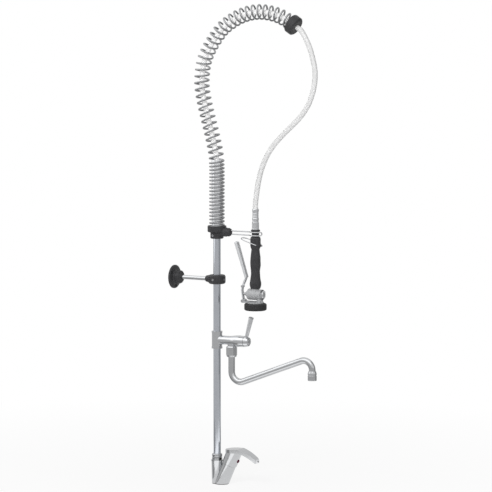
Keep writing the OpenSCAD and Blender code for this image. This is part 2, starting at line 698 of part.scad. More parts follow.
// Middle line of the free hose, [x, z], from the cap's outer face to the ferrule
free_route = [
  cap_end, cap_end + 13 * cap_way, [230, 1088], [242, 1064.5], [250.5, 1039], [256, 1016], [257.5, 996], [255, 973],
  [249, 950], [238, 925], [219, 899], [194, 875], [168, 851], [146, 828], [128, 802], [114, 771],
  [105, 739], [100, 709], [handset_x, 688], [handset_x, 674]
];
cap_t = 21;
cap_r = 23.4;
cap_floor_t = 5;

// Places children on the cap's axis, with +Z out along the hose and zero at the outer face
module on_cap_axis() {
  translate([cap_end[0], 0, cap_end[1]]) rotate([0, 90 + cap_dip, 0]) children();
}

module spring_cap() color(black) on_cap_axis() difference() {
  rotate_extrude() polygon([
    [0, -cap_t], [cap_r - 2.5, -cap_t], [cap_r, 2.5 - cap_t], [cap_r, -3], [cap_r - 3, 0], [0, 0]
  ]);
  translate([0, 0, -cap_t - 1]) cylinder(r = hose_d / 2 + 0.2, h = cap_t + 2);
  translate([0, 0, -cap_t - 1]) cylinder(r = cup_bore_r, h = cap_t - cap_floor_t + 1);
}

module hose_in_spring() color(white)
  route_tube(concat([[riser_x, nipple_z]], [for (i = [1:len(arch_route) - 1]) arch_route[i]]), hose_d, hose_pace, hose_sides);

module hose_free() color(white) route_tube(free_route, hose_d, hose_pace, hose_sides);

// Wire of the spring: eight points a turn, close round the guide and open along the arch
curl_steps = 8;
arch_fine = spline(arch_route, 24);
arch_len = run_lengths(arch_fine)[len(arch_fine) - 1];
arch_x = run_table(arch_fine, 0);
arch_z = run_table(arch_fine, 1);
tang = wire_d + 0.5;
close_end = guide_top - cup_floor - 4;
spring_end = arch_len - cap_floor_t - tang;
close_pitch = (close_end - tang) / close_turns;
open_pitch = (spring_end - close_end) / open_turns;

// Point and way of the arch at length s
function arch_at(s) = [lookup(s, arch_x), 0, lookup(s, arch_z)];
function arch_way(s) = unit(arch_at(min(s + 2, arch_len)) - arch_at(max(s - 2, 0)));
// Length along the arch after the given number of turns
function wound(turns) =
  turns < close_turns ? tang + turns * close_pitch : close_end + (turns - close_turns) * open_pitch;
// Way out from the arch's middle line after the given number of turns
function out_way(turns, s) =
  let (t = arch_way(s), across = [0, 1, 0]) cos(360 * turns) * cross(across, t) + sin(360 * turns) * across;

module support_spring() color(steel) {
  all_turns = close_turns + open_turns;
  turns = [for (k = [0:curl_steps * all_turns]) k / curl_steps];
  out = [for (n = turns) out_way(n, wound(n))];
  coil = [for (i = [0:len(turns) - 1]) arch_at(wound(turns[i])) + coil_d / 2 * out[i]];
  last = len(coil) - 1;
  foot = coil[0] - tang * arch_way(0);
  head = coil[last] + tang * arch_way(arch_len);
  gaps = [for (i = [0:last - curl_steps - 2], j = [i + curl_steps - 2:i + curl_steps + 2]) norm(coil[i] - coil[j])];
  echo(least_gap_between_turns = min(gaps) - wire_d);
  wound_wire(concat([foot], coil, [head]), concat([out[0]], out, [out[last]]), wire_d);
}

// Handset: hangs upright on its own axis; places in [x, z] are taken from that axis
neck_top = 624;
neck_z = 607;
neck_r_hand = 8.85;
hang_r = 11;
core_r = 7;
core_foot = 477.5;
grip_z = 482;
collar_r = 12.5;
ring_pivot = [8, 588];
ring_wire_r = 1.25;
ring_half_w = 14.2;
ring_arm = 33;
ring_tilt = 18;
valve_r = 13.5;
valve_left = -26;
barrel_left = -19;
gland_r = 5.6;
valve_right = 18;
valve_bore_r = 8.5;
bonnet_r = 12.4;
seat_x = 6;
stem_r = 3;
stem_tip = -33.1;
post_x = 12;
post_r = 7.7;
head_flange_z = 446.9;
head_flange_top = 450;
head_r = 19;
plate_z = 431;
plate_t = 2.5;
bumper_z = 429.7;
bumper_top = 446.6;
pivot = [-32, 451];
pivot_pin_r = 1.5;
yoke_bend = [-36.2, 476];
knuckle = [-34.8, 486];
knee = [-24.6, 509];
handle_top = [-51.2, 589.5];
yoke_w = 9;
yoke_t = 2.8;
rivet_r = 1.6;

module at_handset() {
  translate([handset_x, 0, 0]) children();
}

// Outline of a strip of thickness t along the points p, mitred where it bends
function side_way(a, b) = let (d = unit(b - a)) [-d[1], d[0]];
function mitre(p, i) =
  let (before = side_way(p[max(i - 1, 0)], p[max(i, 1)]),
       after = side_way(p[min(i, len(p) - 2)], p[min(i + 1, len(p) - 1)]),
       middle = unit(before + after)) middle / (middle * after);
function strip(p, t) = concat(
  [for (i = [0:len(p) - 1]) p[i] + t / 2 * mitre(p, i)],
  [for (i = [len(p) - 1:-1:0]) p[i] - t / 2 * mitre(p, i)]
);

// Plate w wide across the upright middle plane, with its outline [x, z] as children
module plate(w) {
  rotate([90, 0, 0]) linear_extrude(height = w, center = true) children();
}

// Round piece across the middle plane at p
module cross_pin(p, r, w) {
  translate([p[0], 0, p[1]]) rotate([90, 0, 0]) cylinder(r = r, h = w, center = true);
}

module hose_ferrule() color(steel) at_handset() rotate_extrude() polygon([
  [3.5, 647], [8, 647], [8, 651], [7.3, 653], [7.3, 666], [8, 668], [8, 673], [7.3, 674], [3.5, 674]
]);

module hose_nut() color(chrome) at_handset() difference() {
  union() {
    translate([0, 0, neck_top]) cylinder(r = 8.6, h = 18, $fn = 12);
    translate([0, 0, neck_top + 18]) cylinder(r = 7.6, h = 5);
  }
  translate([0, 0, neck_top - 1]) cylinder(r = 6.55, h = 13);
  translate([0, 0, neck_top - 1]) cylinder(r = 4, h = 40);
}

module handset_neck() color(black) at_handset() difference() {
  rotate_extrude() polygon([
    [0, core_foot], [core_r, core_foot], [core_r, neck_z], [neck_r_hand, neck_z], [neck_r_hand, 619],
    [hang_r - 0.4, 620], [hang_r, 620.6], [hang_r, 623.4], [hang_r - 0.6, neck_top], [6.5, neck_top], [6.5, 636], [0, 636]
  ]);
  translate([0, 0, core_foot - 1]) cylinder(r = 4, h = 200);
}

module grip() color(black) at_handset() difference() {
  union() {
    rotate_extrude() polygon(concat(
      [[0, grip_z], [11.3, grip_z]],
      spline([[12.4, 484.5], [14, 493], [12.2, 506], [10.8, 521], [12.6, 542], [11.6, 561], [9.8, 577]], 4),
      [[11.4, 580.5], [collar_r, 585], [collar_r, 603], [11.4, 606.4], [neck_r_hand + 1, neck_z], [0, neck_z]]
    ));
    along_x(10, 586) cylinder(r1 = 3.4, r2 = 1, h = 9);
  }
  translate([0, 0, grip_z - 1]) cylinder(r = core_r + 0.05, h = 200);
  translate([ring_pivot[0], 0, ring_pivot[1]]) for (side = [-1, 1])
    rotate([90 * side, 0, 0]) translate([0, 0, 6]) cylinder(r = ring_wire_r + run_play, h = 20);
}

module hold_ring() color(steel) at_handset() translate([ring_pivot[0], 0, ring_pivot[1]]) rotate([0, ring_tilt, 0]) {
  for (side = [-1, 1]) {
    rotate([90 * side, 0, 0]) translate([0, 0, 6.5]) cylinder(r = ring_wire_r, h = ring_half_w - 6.5);
    translate([0, -side * ring_half_w, 0]) sphere(r = ring_wire_r);
    translate([0, -side * ring_half_w, 0]) rotate([0, -90, 0]) cylinder(r = ring_wire_r, h = ring_arm);
  }
  translate([-ring_arm, 0, 0]) bent_bar(ring_half_w, ring_wire_r, 90, 270);
}

module spray_valve_body() color(steel) at_handset() difference() {
  union() {
    along_x(0, valve_z) rotate_extrude() polygon([
      [0, valve_left], [gland_r - 0.8, valve_left], [gland_r, valve_left + 0.8], [gland_r, barrel_left],
      [valve_r - 1.6, barrel_left], [valve_r - 0.5, barrel_left + 0.7], [valve_r, barrel_left + 2], [valve_r, 5],
      [valve_r - 1, 6.5], [valve_r - 1, valve_right], [0, valve_right]
    ]);
    translate([0, 0, valve_z]) cylinder(r = 9.5, h = grip_z - valve_z);
    translate([post_x, 0, head_flange_z]) cylinder(r = post_r, h = valve_z - head_flange_z);
    translate([0, 0, head_flange_z]) cylinder(r = 20, h = head_flange_top - head_flange_z);
    translate([0, 0, plate_z + plate_t]) cylinder(r = head_r, h = head_flange_top - plate_z - plate_t);
    for (side = [-1, 1]) translate([0, side * 6.8, 0]) {
      cross_pin(pivot, 4.2, 2.8);
      translate([pivot[0], -1.4, head_flange_z]) cube([20, 2.8, 4.2]);
    }
  }
  translate([0, 0, core_foot]) cylinder(r = core_r + 0.05, h = 40);
  translate([0, 0, valve_z]) cylinder(r = 4, h = 40);
  along_x(valve_left - 1, valve_z) cylinder(r = stem_r + run_play, h = 40);
  along_x(-8, valve_z) cylinder(r = 6.5, h = 12);
  along_x(0, valve_z) cylinder(r = 4.6, h = 12);
  along_x(seat_x, valve_z) cylinder(r = valve_bore_r, h = 40);
  along_x(valve_right, valve_z) cylinder(r = bonnet_r + 0.5, h = 10);
  translate([post_x, 0, 440]) cylinder(r = 4, h = valve_z - 440);
  translate([0, 0, plate_z]) sleeve(16, 4.5, 441 - plate_z);
  translate([0, 0, plate_z]) cylinder(r = 1.55, h = 12);
  cross_pin(pivot, pivot_pin_r, 40);
  translate([pivot[0] - 6, -yoke_w / 2 - 0.4, head_flange_z - 1]) cube([11.4, yoke_w + 0.8, 20]);
}

module bonnet_cap() color(chrome) at_handset() along_x(0, valve_z) {
  translate([0, 0, valve_right]) cylinder(r = bonnet_r, h = 3.6, $fn = 6);
  translate([0, 0, valve_right + 3.6]) rotate_extrude() polygon(concat(
    [[0, 0], [9, 0]], [for (a = [10:20:90]) [9 * cos(a), 4 * sin(a)]]
  ));
  translate([0, 0, valve_right - 3]) sleeve(valve_bore_r - 0.05, 7, 3);
}

module valve_stem() color(steel) at_handset() along_x(0, valve_z) {
  translate([0, 0, stem_tip + 1]) cylinder(r = stem_r, h = 8.2 - stem_tip);
  translate([0, 0, stem_tip]) cylinder(r1 = stem_r - 1, r2 = stem_r, h = 1);
  translate([0, 0, 8.2]) cylinder(r = 6.4, h = 2);
}

module stem_seal() color(rubber) at_handset() along_x(seat_x + face_gap, valve_z) sleeve(6.2, stem_r, 8.2 - seat_x - face_gap);

// Return spring between the stem's head and the bonnet
stem_spring_z0 = 10.5;
stem_spring_turns = 4;
module stem_spring() color(steel) at_handset() along_x(0, valve_z) {
  wire = 1;
  mean_r = 5.2;
  rise = (valve_right - 0.1 - stem_spring_z0 - 2 * wire) / stem_spring_turns;
  turns = [for (k = [0:curl_steps * stem_spring_turns]) k / curl_steps];
  out = [for (n = turns) [cos(360 * n), sin(360 * n), 0]];
  coil = [for (i = [0:len(turns) - 1]) mean_r * out[i] + [0, 0, stem_spring_z0 + wire + rise * turns[i]]];
  last = len(coil) - 1;
  tail = [0, 0, wire];
  wound_wire(concat([coil[0] - tail], coil, [coil[last] + tail]), concat([out[0]], out, [out[last]]), wire);
}

module spray_plate() color(steel) at_handset() translate([0, 0, plate_z]) difference() {
  cylinder(r = head_r, h = plate_t);
  for (ring_r = [8, 14], k = [0:ring_r - 1]) rotate([0, 0, 360 * k / ring_r])
    translate([ring_r, 0, -1]) cylinder(r = 0.9, h = plate_t + 2);
  translate([0, 0, -1]) cylinder(r = 1.6, h = plate_t + 2);
}

module spray_face_screw() color(steel) at_handset() difference() {
  union() {
    translate([0, 0, bumper_z + 0.3]) cylinder(r1 = 2.4, r2 = 3.2, h = plate_z - bumper_z - 0.3);
    translate([0, 0, plate_z]) cylinder(r = 1.5, h = 10);
  }
  translate([-5, -0.4, bumper_z]) cube([10, 0.8, 0.9]);
}

module spray_bumper() color(rubber) at_handset() rotate_extrude() polygon(concat(
  [[head_r + 0.05, bumper_z + 1]],
  arc([bumper_d / 2 - 4, bumper_z + 4], 4, -90, 0, 6),
  arc([bumper_d / 2 - 4, bumper_top - 4], 4, 0, 90, 6),
  [[head_r + 0.05, bumper_top]]
));

module trigger_pin() color(steel) at_handset() {
  cross_pin(pivot, pivot_pin_r, 17);
  for (side = [-1, 1]) translate([0, side * 8.8, 0]) cross_pin(pivot, 2.3, 1);
}

module trigger_yoke() color(steel) at_handset() difference() {
  union() {
    cross_pin(pivot, 3.4, yoke_w);
    plate(yoke_w) polygon(strip([pivot, yoke_bend, knuckle], yoke_t));
    cross_pin(knuckle, 3.2, yoke_w);
  }
  cross_pin(pivot, pivot_pin_r + run_play, 40);
  cross_pin(knuckle, rivet_r, 40);
  cross_pin(knuckle, 3.8, 3.2);
}

module trigger_rivet() color(steel) at_handset() {
  cross_pin(knuckle, rivet_r - 0.02, yoke_w);
  for (side = [-1, 1]) translate([0, side * (yoke_w / 2 + 0.5), 0]) cross_pin(knuckle, 2.5, 1);
}

// Handle: a bar that widens to a rounded end, on a bent tail
handle_r0 = 3.5;
handle_r1 = 4.4;
handle_w0 = 5;
handle_w1 = 6.5;
handle_way = handle_top - knee;

// Outline of the handle from its knee to its rounded end, for half widths r0 and r1
module handle_outline(r0, r1) {
  polygon(concat([[-r0, -2], [r0, -2]], arc([0, norm(handle_way)], r1, 0, 180, 12)));
}

module trigger_handle() color(chrome) at_handset() difference() {
  union() {
    plate(2.8) {
      translate(knuckle) circle(r = 3.1);
      polygon(strip([knuckle, knee], 4.5));
    }
    plate(2 * handle_w0 - 2) polygon(strip([knuckle + 0.3 * (knee - knuckle), knee], 4));
    translate([knee[0], 0, knee[1]]) rotate([0, atan2(handle_way[0], handle_way[1]), 0]) intersection() {
      plate(40) handle_outline(handle_r0, handle_r1);
      rotate([0, 0, 90]) plate(40) handle_outline(handle_w0, handle_w1);
    }
  }
  cross_pin(knuckle, rivet_r, 40);
}

mixer_body();
base_gasket();
cartridge_body();
cartridge_nut();
spindle_carrier();
tilt_pin();
cartridge_stem();
mixer_lever();
lever_screw();
index_plug();
riser_union_nut();
riser_seal();
lower_riser();
tee_body();
tee_seals();
upper_riser();
valve_headwork();
valve_spindle();
valve_hub();
valve_lever();
valve_lever_cap();
hub_cap();
spout_nut();
spout_tube();
spout_collar();
spout_seal();
aerator_housing();
aerator_insert();
wall_flange();
wall_rod();
wall_clamp();
clamp_screws();
hook_bracket();
bracket_screw();
hook_wire();
spring_guide();
support_spring();
hose_nipple();
hose_in_spring();
spring_cap();
hose_free();
hose_ferrule();
hose_nut();
handset_neck();
grip();
spray_valve_body();
bonnet_cap();
valve_stem();
stem_spring();
stem_seal();
spray_plate();
spray_bumper();
spray_face_screw();
trigger_handle();
trigger_yoke();
trigger_rivet();
trigger_pin();
hold_ring();
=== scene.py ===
# %% [markdown]
# # A pre-rinse faucet, dressed for its portrait
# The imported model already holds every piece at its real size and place. This lesson gives the pieces that
# show their finished surfaces: smooth chrome, satin tube, wound spring wire, moulded black plastic and a
# pale hose. Everything is in metres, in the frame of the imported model, so nothing has to be fitted by eye.

# %% Load the frame
import json
import math

import bmesh
import bpy
import numpy as np
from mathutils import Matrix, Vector


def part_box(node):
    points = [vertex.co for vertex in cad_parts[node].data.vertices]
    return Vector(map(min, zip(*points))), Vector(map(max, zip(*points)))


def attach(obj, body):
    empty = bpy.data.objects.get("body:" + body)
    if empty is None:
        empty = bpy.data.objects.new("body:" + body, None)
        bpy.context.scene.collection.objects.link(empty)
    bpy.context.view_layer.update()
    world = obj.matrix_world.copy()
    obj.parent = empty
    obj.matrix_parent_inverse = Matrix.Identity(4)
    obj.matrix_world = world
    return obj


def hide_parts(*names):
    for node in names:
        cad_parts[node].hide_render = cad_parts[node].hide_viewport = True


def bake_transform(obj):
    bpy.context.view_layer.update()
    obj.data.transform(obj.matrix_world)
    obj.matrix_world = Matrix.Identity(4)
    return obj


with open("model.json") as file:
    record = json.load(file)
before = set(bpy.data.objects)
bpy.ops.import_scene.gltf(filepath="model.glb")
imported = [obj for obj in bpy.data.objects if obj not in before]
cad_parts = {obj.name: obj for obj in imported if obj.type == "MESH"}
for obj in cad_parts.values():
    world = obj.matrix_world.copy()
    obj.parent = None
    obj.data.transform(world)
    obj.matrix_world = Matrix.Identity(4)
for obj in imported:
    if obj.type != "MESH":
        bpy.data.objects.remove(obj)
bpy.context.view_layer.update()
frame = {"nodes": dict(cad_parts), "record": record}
scene = bpy.context.scene
NODE_BODY = {node: body for body, nodes in frame["record"]["behaviour"]["bodies"].items() for node in nodes}
NODE_SLOT = {row["node"]: row["material_slot"] for row in frame["record"]["subparts"]}
MM = 0.001

# %% [markdown]
# ## Camera
# The picture is taken from in front and a little to one side, from far away with a long lens, so upright
# lines stay upright and parallel. A camera could be dragged into place by eye. Here two angles, a distance
# and the millimetres that one pixel covers at the object place it exactly, and the same way each time.

# %% Camera
IMAGE_PIXELS = 492
MM_PER_PIXEL = 2.4
CAMERA_AZIMUTH = math.radians(29)
CAMERA_ELEVATION = math.radians(6)
CAMERA_DISTANCE = 8.0
SENSOR = 36.0
LOOK_AT = np.array([0.071, 0.0, 0.5835])


def camera_way(azimuth, elevation):
    """Unit vector from the object to a camera that looks along +Y at azimuth 0."""
    flat = math.cos(elevation)
    return np.array([math.sin(azimuth) * flat, -math.cos(azimuth) * flat, math.sin(elevation)])


camera_data = bpy.data.cameras.new("portrait_camera")
camera_data.sensor_width = SENSOR
camera_data.lens = SENSOR * CAMERA_DISTANCE / (IMAGE_PIXELS * MM_PER_PIXEL * MM)
camera = bpy.data.objects.new("portrait_camera", camera_data)
camera.location = LOOK_AT + CAMERA_DISTANCE * camera_way(CAMERA_AZIMUTH, CAMERA_ELEVATION)
camera.rotation_euler = (math.pi / 2 - CAMERA_ELEVATION, 0, CAMERA_AZIMUTH)
scene.collection.objects.link(camera)
scene.camera = camera
print("lens", round(camera_data.lens, 1), "mm")

# %% [markdown]
# ## Surfaces from grids
# Almost every piece here is turned, drawn or bent, so its surface is a grid of points with two parameters:
# one along the piece and one around it. Primitives and modifiers could make many of them, but a formula
# keeps each size a named value. Whole arrays of points are worked out at once and handed to the mesh, with
# the seam round the piece closed by counting modulo the number of sides.


# %% Grid meshes
def grid_faces(rows, sides, closed_rows=False):
    """Quads between neighbouring rows and neighbouring sides; the sides always close on themselves."""
    r = np.arange(rows if closed_rows else rows - 1)[:, None]
    s = np.arange(sides)[None, :]
    up = (r + 1) % rows
    nxt = (s + 1) % sides
    return np.stack([r * sides + s, r * sides + nxt, up * sides + nxt, up * sides + s], -1).reshape(-1, 4)


def shown(name, mesh, sharp):
    """Object at the origin that shows a mesh, smooth but for edges sharper than an angle in degrees."""
    mesh.polygons.foreach_set("use_smooth", np.ones(len(mesh.polygons), bool))
    mesh.set_sharp_from_angle(angle=math.radians(sharp))
    mesh.update()
    piece = bpy.data.objects.new(name, mesh)
    scene.collection.objects.link(piece)
    return piece


def new_piece(name, points, faces, sharp=40):
    """Object from an array of points and rows of vertex numbers, with its faces turned outwards."""
    mesh = bpy.data.meshes.new(name)
    mesh.from_pydata(points.reshape(-1, 3), [], [list(map(int, face)) for face in faces])
    shell = bmesh.new()
    shell.from_mesh(mesh)
    bmesh.ops.recalc_face_normals(shell, faces=shell.faces)
    shell.to_mesh(mesh)
    shell.free()
    return shown(name, mesh, sharp)


def capped(faces, rows, sides):
    """Adds one flat many-sided face at each end of a grid."""
    first = np.arange(sides)[::-1]
    last = (rows - 1) * sides + np.arange(sides)
    return [*faces, first, last]


# %% [markdown]
# ## The hose
# A pre-rinse hose leaves the cap at the end of the spring, swings down in a long S and goes into the
# ferrule of the hand spray. It could be a curve object with a round bevel, but its length has to be
# measured and its ends have to meet other pieces, so its middle line is a short list of given points
# with a smooth cubic through them. The stretch inside the spring has a list of its own.

# %% Hose route
MIDDLE = np.array([0.0, 1.0, 0.0])
free_route = np.array([
    (208.5, 1110), (219.5, 1103.1), (230, 1088), (242, 1064.5), (250.5, 1039), (256, 1016), (257.5, 996),
    (255, 973), (249, 950), (238, 925), (219, 899), (194, 875), (168, 851), (146, 828), (128, 802),
    (114, 771), (105, 739), (100, 709), (97, 688), (97, 674)]) * MM
arch_route = np.array([
    (-9, 617), (-9, 700), (-9, 770), (-12, 805), (-22, 848), (-35, 895), (-44, 930), (-49.5, 960),
    (-49.5, 989.5), (-43.5, 1024), (-31.5, 1051.5), (-15, 1077), (5, 1101.5), (28, 1119), (54, 1133),
    (82.5, 1142), (109, 1145), (138, 1142.5), (165.5, 1134.8), (188.5, 1122.5), (208.5, 1110)]) * MM
HOSE_D = 12.5 * MM
HOSE_RINGS = 220


def smooth_route(route, steps=40):
    """Points [x, 0, z] of the smooth curve through a route. Each stretch is a cubic between two points,
    whose slope at a point is half the step between that point's neighbours."""
    padded = np.concatenate([route[:1], route, route[-1:]])
    a, b, c, d = (padded[k:k + len(route) - 1, None, :] for k in range(4))
    t = (np.arange(steps) / steps)[None, :, None]
    square_term = 2 * a - 5 * b + 4 * c - d
    cube_term = 3 * b - a - 3 * c + d
    curve = b + t * (c - a) / 2 + t**2 * square_term / 2 + t**3 * cube_term / 2
    flat = np.concatenate([curve.reshape(-1, 2), route[-1:]])
    return np.stack([flat[:, 0], np.zeros(len(flat)), flat[:, 1]], 1)


def run_of(path):
    """Length run along a path at each of its points."""
    return np.concatenate([[0], np.cumsum(np.linalg.norm(np.diff(path, axis=0), axis=1))])


def resampled(path, count):
    """The same path with its points evenly spaced."""
    run = run_of(path)
    even = np.linspace(0, run[-1], count)
    return np.stack([np.interp(even, run, path[:, k]) for k in range(3)], 1)


def headings(path):
    """Unit way of travel at each point of a path."""
    way = np.gradient(path, axis=0)
    return way / np.linalg.norm(way, axis=1, keepdims=True)


def tube(name, path, side, radius, sides=24):
    """Round tube: each ring spans side, a way square to the path, and the way square to both."""
    way = headings(path)
    side = np.broadcast_to(side, path.shape)
    out = np.cross(side, way)
    turn = np.linspace(0, 2 * np.pi, sides, endpoint=False)[None, :, None]
    radius = np.broadcast_to(radius, len(path))[:, None, None]
    rings = path[:, None, :] + radius * (np.cos(turn) * side[:, None, :] + np.sin(turn) * out[:, None, :])
    return new_piece(name, rings, capped(grid_faces(len(path), sides), len(path), sides))


print("routes", len(free_route), "and", len(arch_route), "points")

# %% [markdown]
# ## From route to hose
# The tube is a ring of points carried along the route. The route bends in one upright plane, so every ring
# can use the plane's normal as one of its two directions, and the tube never twists. One end belongs to the
# column and the other to the hand spray; the hose is left in place where it is made.

# %% Free hose
hose_path = resampled(smooth_route(free_route), HOSE_RINGS)
free_hose = tube("free_hose", hose_path, MIDDLE, HOSE_D / 2)
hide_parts("hose_free")
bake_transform(free_hose)

# %% [markdown]
# ## Shader maths as plain expressions
# A finish is a small graph of nodes. Building it by hand takes four lines for each sum, so one class wraps
# an output socket and turns Python's operators into Math nodes, and one method adds any other node from its
# type, its settings and what goes into its sockets. A line of shader maths then reads like its formula.


# %% Shader helpers
class Wire:
    """One output socket; sums and products of wires and numbers add Math nodes."""

    def __init__(self, graph, socket):
        self.graph = graph
        self.socket = socket

    def math(self, operation, other):
        """Math node of this wire and another wire or a number."""
        return self.graph.add("ShaderNodeMath", {"operation": operation}, {0: self, 1: other})

    def __add__(self, other):
        return self.math("ADD", other)

    __radd__ = __add__

    def __mul__(self, other):
        return self.math("MULTIPLY", other)

    __rmul__ = __mul__

    def or_more(self, other):
        """The larger of two values."""
        return self.math("MAXIMUM", other)

    def twin(self, output):
        """Another output of the same node."""
        return Wire(self.graph, self.socket.node.outputs[output])


class Graph:
    """A node tree to which nodes are added by type, settings and what goes into their sockets."""

    def __init__(self, tree):
        self.tree = tree

    def put(self, socket, value):
        """Links a wire to a socket, or sets the socket's own value."""
        if isinstance(value, Wire):
            self.tree.links.new(value.socket, socket)
        else:
            socket.default_value = value

    def add(self, kind, settings=None, sockets=None, output=0):
        """New node with its settings and sockets filled in; gives one of its outputs back as a wire."""
        node = self.tree.nodes.new(kind)
        for setting, value in (settings or {}).items():
            setattr(node, setting, value)
        for socket, value in (sockets or {}).items():
            self.put(node.inputs[socket], value)
        return Wire(self, node.outputs[output]) if node.outputs else node


EVEN = (1, 1, 1)


class Finish(Graph):
    """A material with one Principled shader, whose constants are set at once."""

    def __init__(self, name, **constants):
        self.material = bpy.data.materials.new(name)
        self.material.use_nodes = True
        super().__init__(self.material.node_tree)
        self.shader = self.tree.nodes["Principled BSDF"]
        for socket, value in constants.items():
            self.shader.inputs[socket.replace("_", " ")].default_value = value

    def feed(self, socket, wire):
        """Links a wire to a socket of the Principled shader."""
        self.put(self.shader.inputs[socket], wire)

    def noise(self, scale, detail, rough=0.55, stretch=EVEN):
        """Cloudy value from 0 to 1 on Object coordinates, with so many lumps to the metre."""
        where = self.add("ShaderNodeTexCoord", output="Object")
        where = self.add("ShaderNodeMapping", {}, {"Vector": where, "Scale": stretch})
        return self.add("ShaderNodeTexNoise", {}, {"Vector": where, "Scale": scale, "Detail": detail,
                                                   "Roughness": rough}, "Fac")

    def between(self, factor, dark, light):
        """Colour mixed from dark to light by a value."""
        return self.add("ShaderNodeMix", {"data_type": "RGBA"},
                        {"Factor": factor, 6: (*dark, 1), 7: (*light, 1)}, 2)

    def bump(self, height, depth, strength):
        """Tilts the surface by a height map; depth is in metres."""
        self.feed("Normal", self.add("ShaderNodeBump", {},
                                     {"Height": height, "Distance": depth, "Strength": strength}))


# %% [markdown]
# ## Metals
# Plated brass is a mirror with a little haze where water has dried, so its roughness wanders by a few
# hundredths. The spout, its nut and the aerator take a darker copy of the chrome, painted shade for the
# darker reflections that they show. The riser is satin tube with fine lines round it from the polishing
# belt. Spring wire is drawn and duller, the spray valve is brushed, and crimped and turned fittings lie in
# between. A photographed texture could show such marks, but noise on Object coordinates needs no
# unwrapping, so one function makes them all from two greys, a roughness and a grain.

# %% Metal finishes
ROUND_RISER = (0.25, 0.25, 4)
ALONG_X = (0.06, 1, 1)
COOL = (0.985, 1.0, 1.02)
BLUISH = (0.95, 0.99, 1.06)
GOLDEN = (1.05, 0.82, 0.42)
HAZE_PER_METRE = 40


def metal(name, dark, light, rough, lines, stretch, depth, tint=COOL, metallic=1.0):
    """Metal whose tone wanders between two greys with a slow haze. Its roughness is three quarters of a
    given value, plus a share of the haze and a share of fine lines, which also tilt the surface."""
    finish = Finish(name, Metallic=metallic)
    cloud = finish.noise(HAZE_PER_METRE, 3)
    marks = finish.noise(lines, 2, 0.6, stretch)
    shades = [tuple(grey * share for share in tint) for grey in (dark, light)]
    finish.feed("Base Color", finish.between(cloud, *shades))
    finish.feed("Roughness", rough * (0.75 + 0.2 * cloud + 0.3 * marks))
    finish.bump(marks, depth, 0.3)
    return finish.material


CHROME = metal("chrome_plate", 0.54, 0.61, 0.12, 420, EVEN, 0.000003)
# Darker copy of the chrome for the spout, its nut and the aerator: painted shade for their darker
# reflections.
SHADED_CHROME = metal("polished_tube", 0.49, 0.55, 0.14, 420, EVEN, 0.000003)
SATIN = metal("satin_tube", 0.58, 0.64, 0.17, 900, ROUND_RISER, 0.000002, BLUISH)
WIRE = metal("drawn_wire", 0.27, 0.36, 0.24, 1500, EVEN, 0.000003)
BRUSHED = metal("brushed_body", 0.42, 0.46, 0.75, 700, ALONG_X, 0.00002, metallic=0.5)
PRESSED = metal("pressed_lever", 0.66, 0.73, 0.60, 600, EVEN, 0.00001)
# Pale steel for the guide tube inside the spring: lighter than its metal, painted light against the shade of
# the spring turns.
PALE = metal("pale_fitting", 0.86, 0.93, 0.36, 500, EVEN, 0.000004)
CRIMPED = metal("crimped_steel", 0.58, 0.66, 0.32, 500, EVEN, 0.000004)
TURNED = metal("turned_steel", 0.36, 0.42, 0.16, 420, EVEN, 0.000003)
SCREW = metal("screw_steel", 0.40, 0.54, 0.30, 300, EVEN, 0.00001)
BRASS = metal("turned_brass", 0.60, 0.72, 0.30, 300, EVEN, 0.00001, GOLDEN)
print("metals from", CHROME.name, "to", BRASS.name)

# %% [markdown]
# ## Plastics, rubber and hose
# Moulded nylon has a fine spark-eroded grain that scatters the light; rubber is duller and a little dusty.
# The hose is smooth pale vinyl: nearly white, with a soft gloss and a faint cloudiness in its wall. Vinyl
# could be made translucent, but that is slow and grainy to render on a thin hose, so a pale base under a
# thin coat stands for it.


# %% Plastic finishes
def black_nylon():
    """Near black; the grain lifts the roughness from 0.30 to 0.46 and tilts the surface."""
    finish = Finish("black_nylon", IOR=1.3)
    grain = finish.noise(2600, 2, 0.6)
    cloud = finish.noise(55, 3)
    finish.feed("Base Color", finish.between(cloud, (0.031, 0.031, 0.033), (0.052, 0.052, 0.055)))
    finish.feed("Roughness", 0.30 + 0.16 * grain)
    finish.bump(grain, 0.00006, 0.5)
    return finish.material


def black_rubber():
    """Darker than nylon; the grain lifts the roughness from 0.55 to 0.75 and tilts the surface."""
    finish = Finish("black_rubber", IOR=1.4)
    grain = finish.noise(1400, 3)
    cloud = finish.noise(70, 3)
    finish.feed("Base Color", finish.between(cloud, (0.015, 0.015, 0.016), (0.027, 0.027, 0.028)))
    finish.feed("Roughness", 0.55 + 0.2 * grain)
    finish.bump(grain, 0.00008, 0.4)
    return finish.material


def white_acetal():
    """Off-white; one slow cloud varies both the tone and the roughness."""
    finish = Finish("white_acetal", IOR=1.48)
    cloud = finish.noise(120, 3)
    finish.feed("Base Color", finish.between(cloud, (0.74, 0.74, 0.72), (0.84, 0.84, 0.82)))
    finish.feed("Roughness", 0.35 + 0.1 * cloud)
    return finish.material


def pale_hose(name, dark, light, glow):
    """Milky vinyl between two greys under a coat that a cloud thickens. A glow, set only for the hose inside
    the spring, is painted light that lifts the hose out of the spring's shade."""
    finish = Finish(name, IOR=1.45, Coat_Roughness=0.12, Emission_Color=(1, 1, 1, 1),
                    Emission_Strength=glow)
    cloud = finish.noise(14, 3)
    fine = finish.noise(300, 2)
    finish.feed("Base Color", finish.between(cloud, (dark, dark, dark), (light, light, light)))
    finish.feed("Roughness", 0.30 + 0.05 * fine)
    finish.feed("Coat Weight", 0.15 + 0.2 * cloud)
    finish.bump(fine, 0.000005, 0.02)
    return finish.material


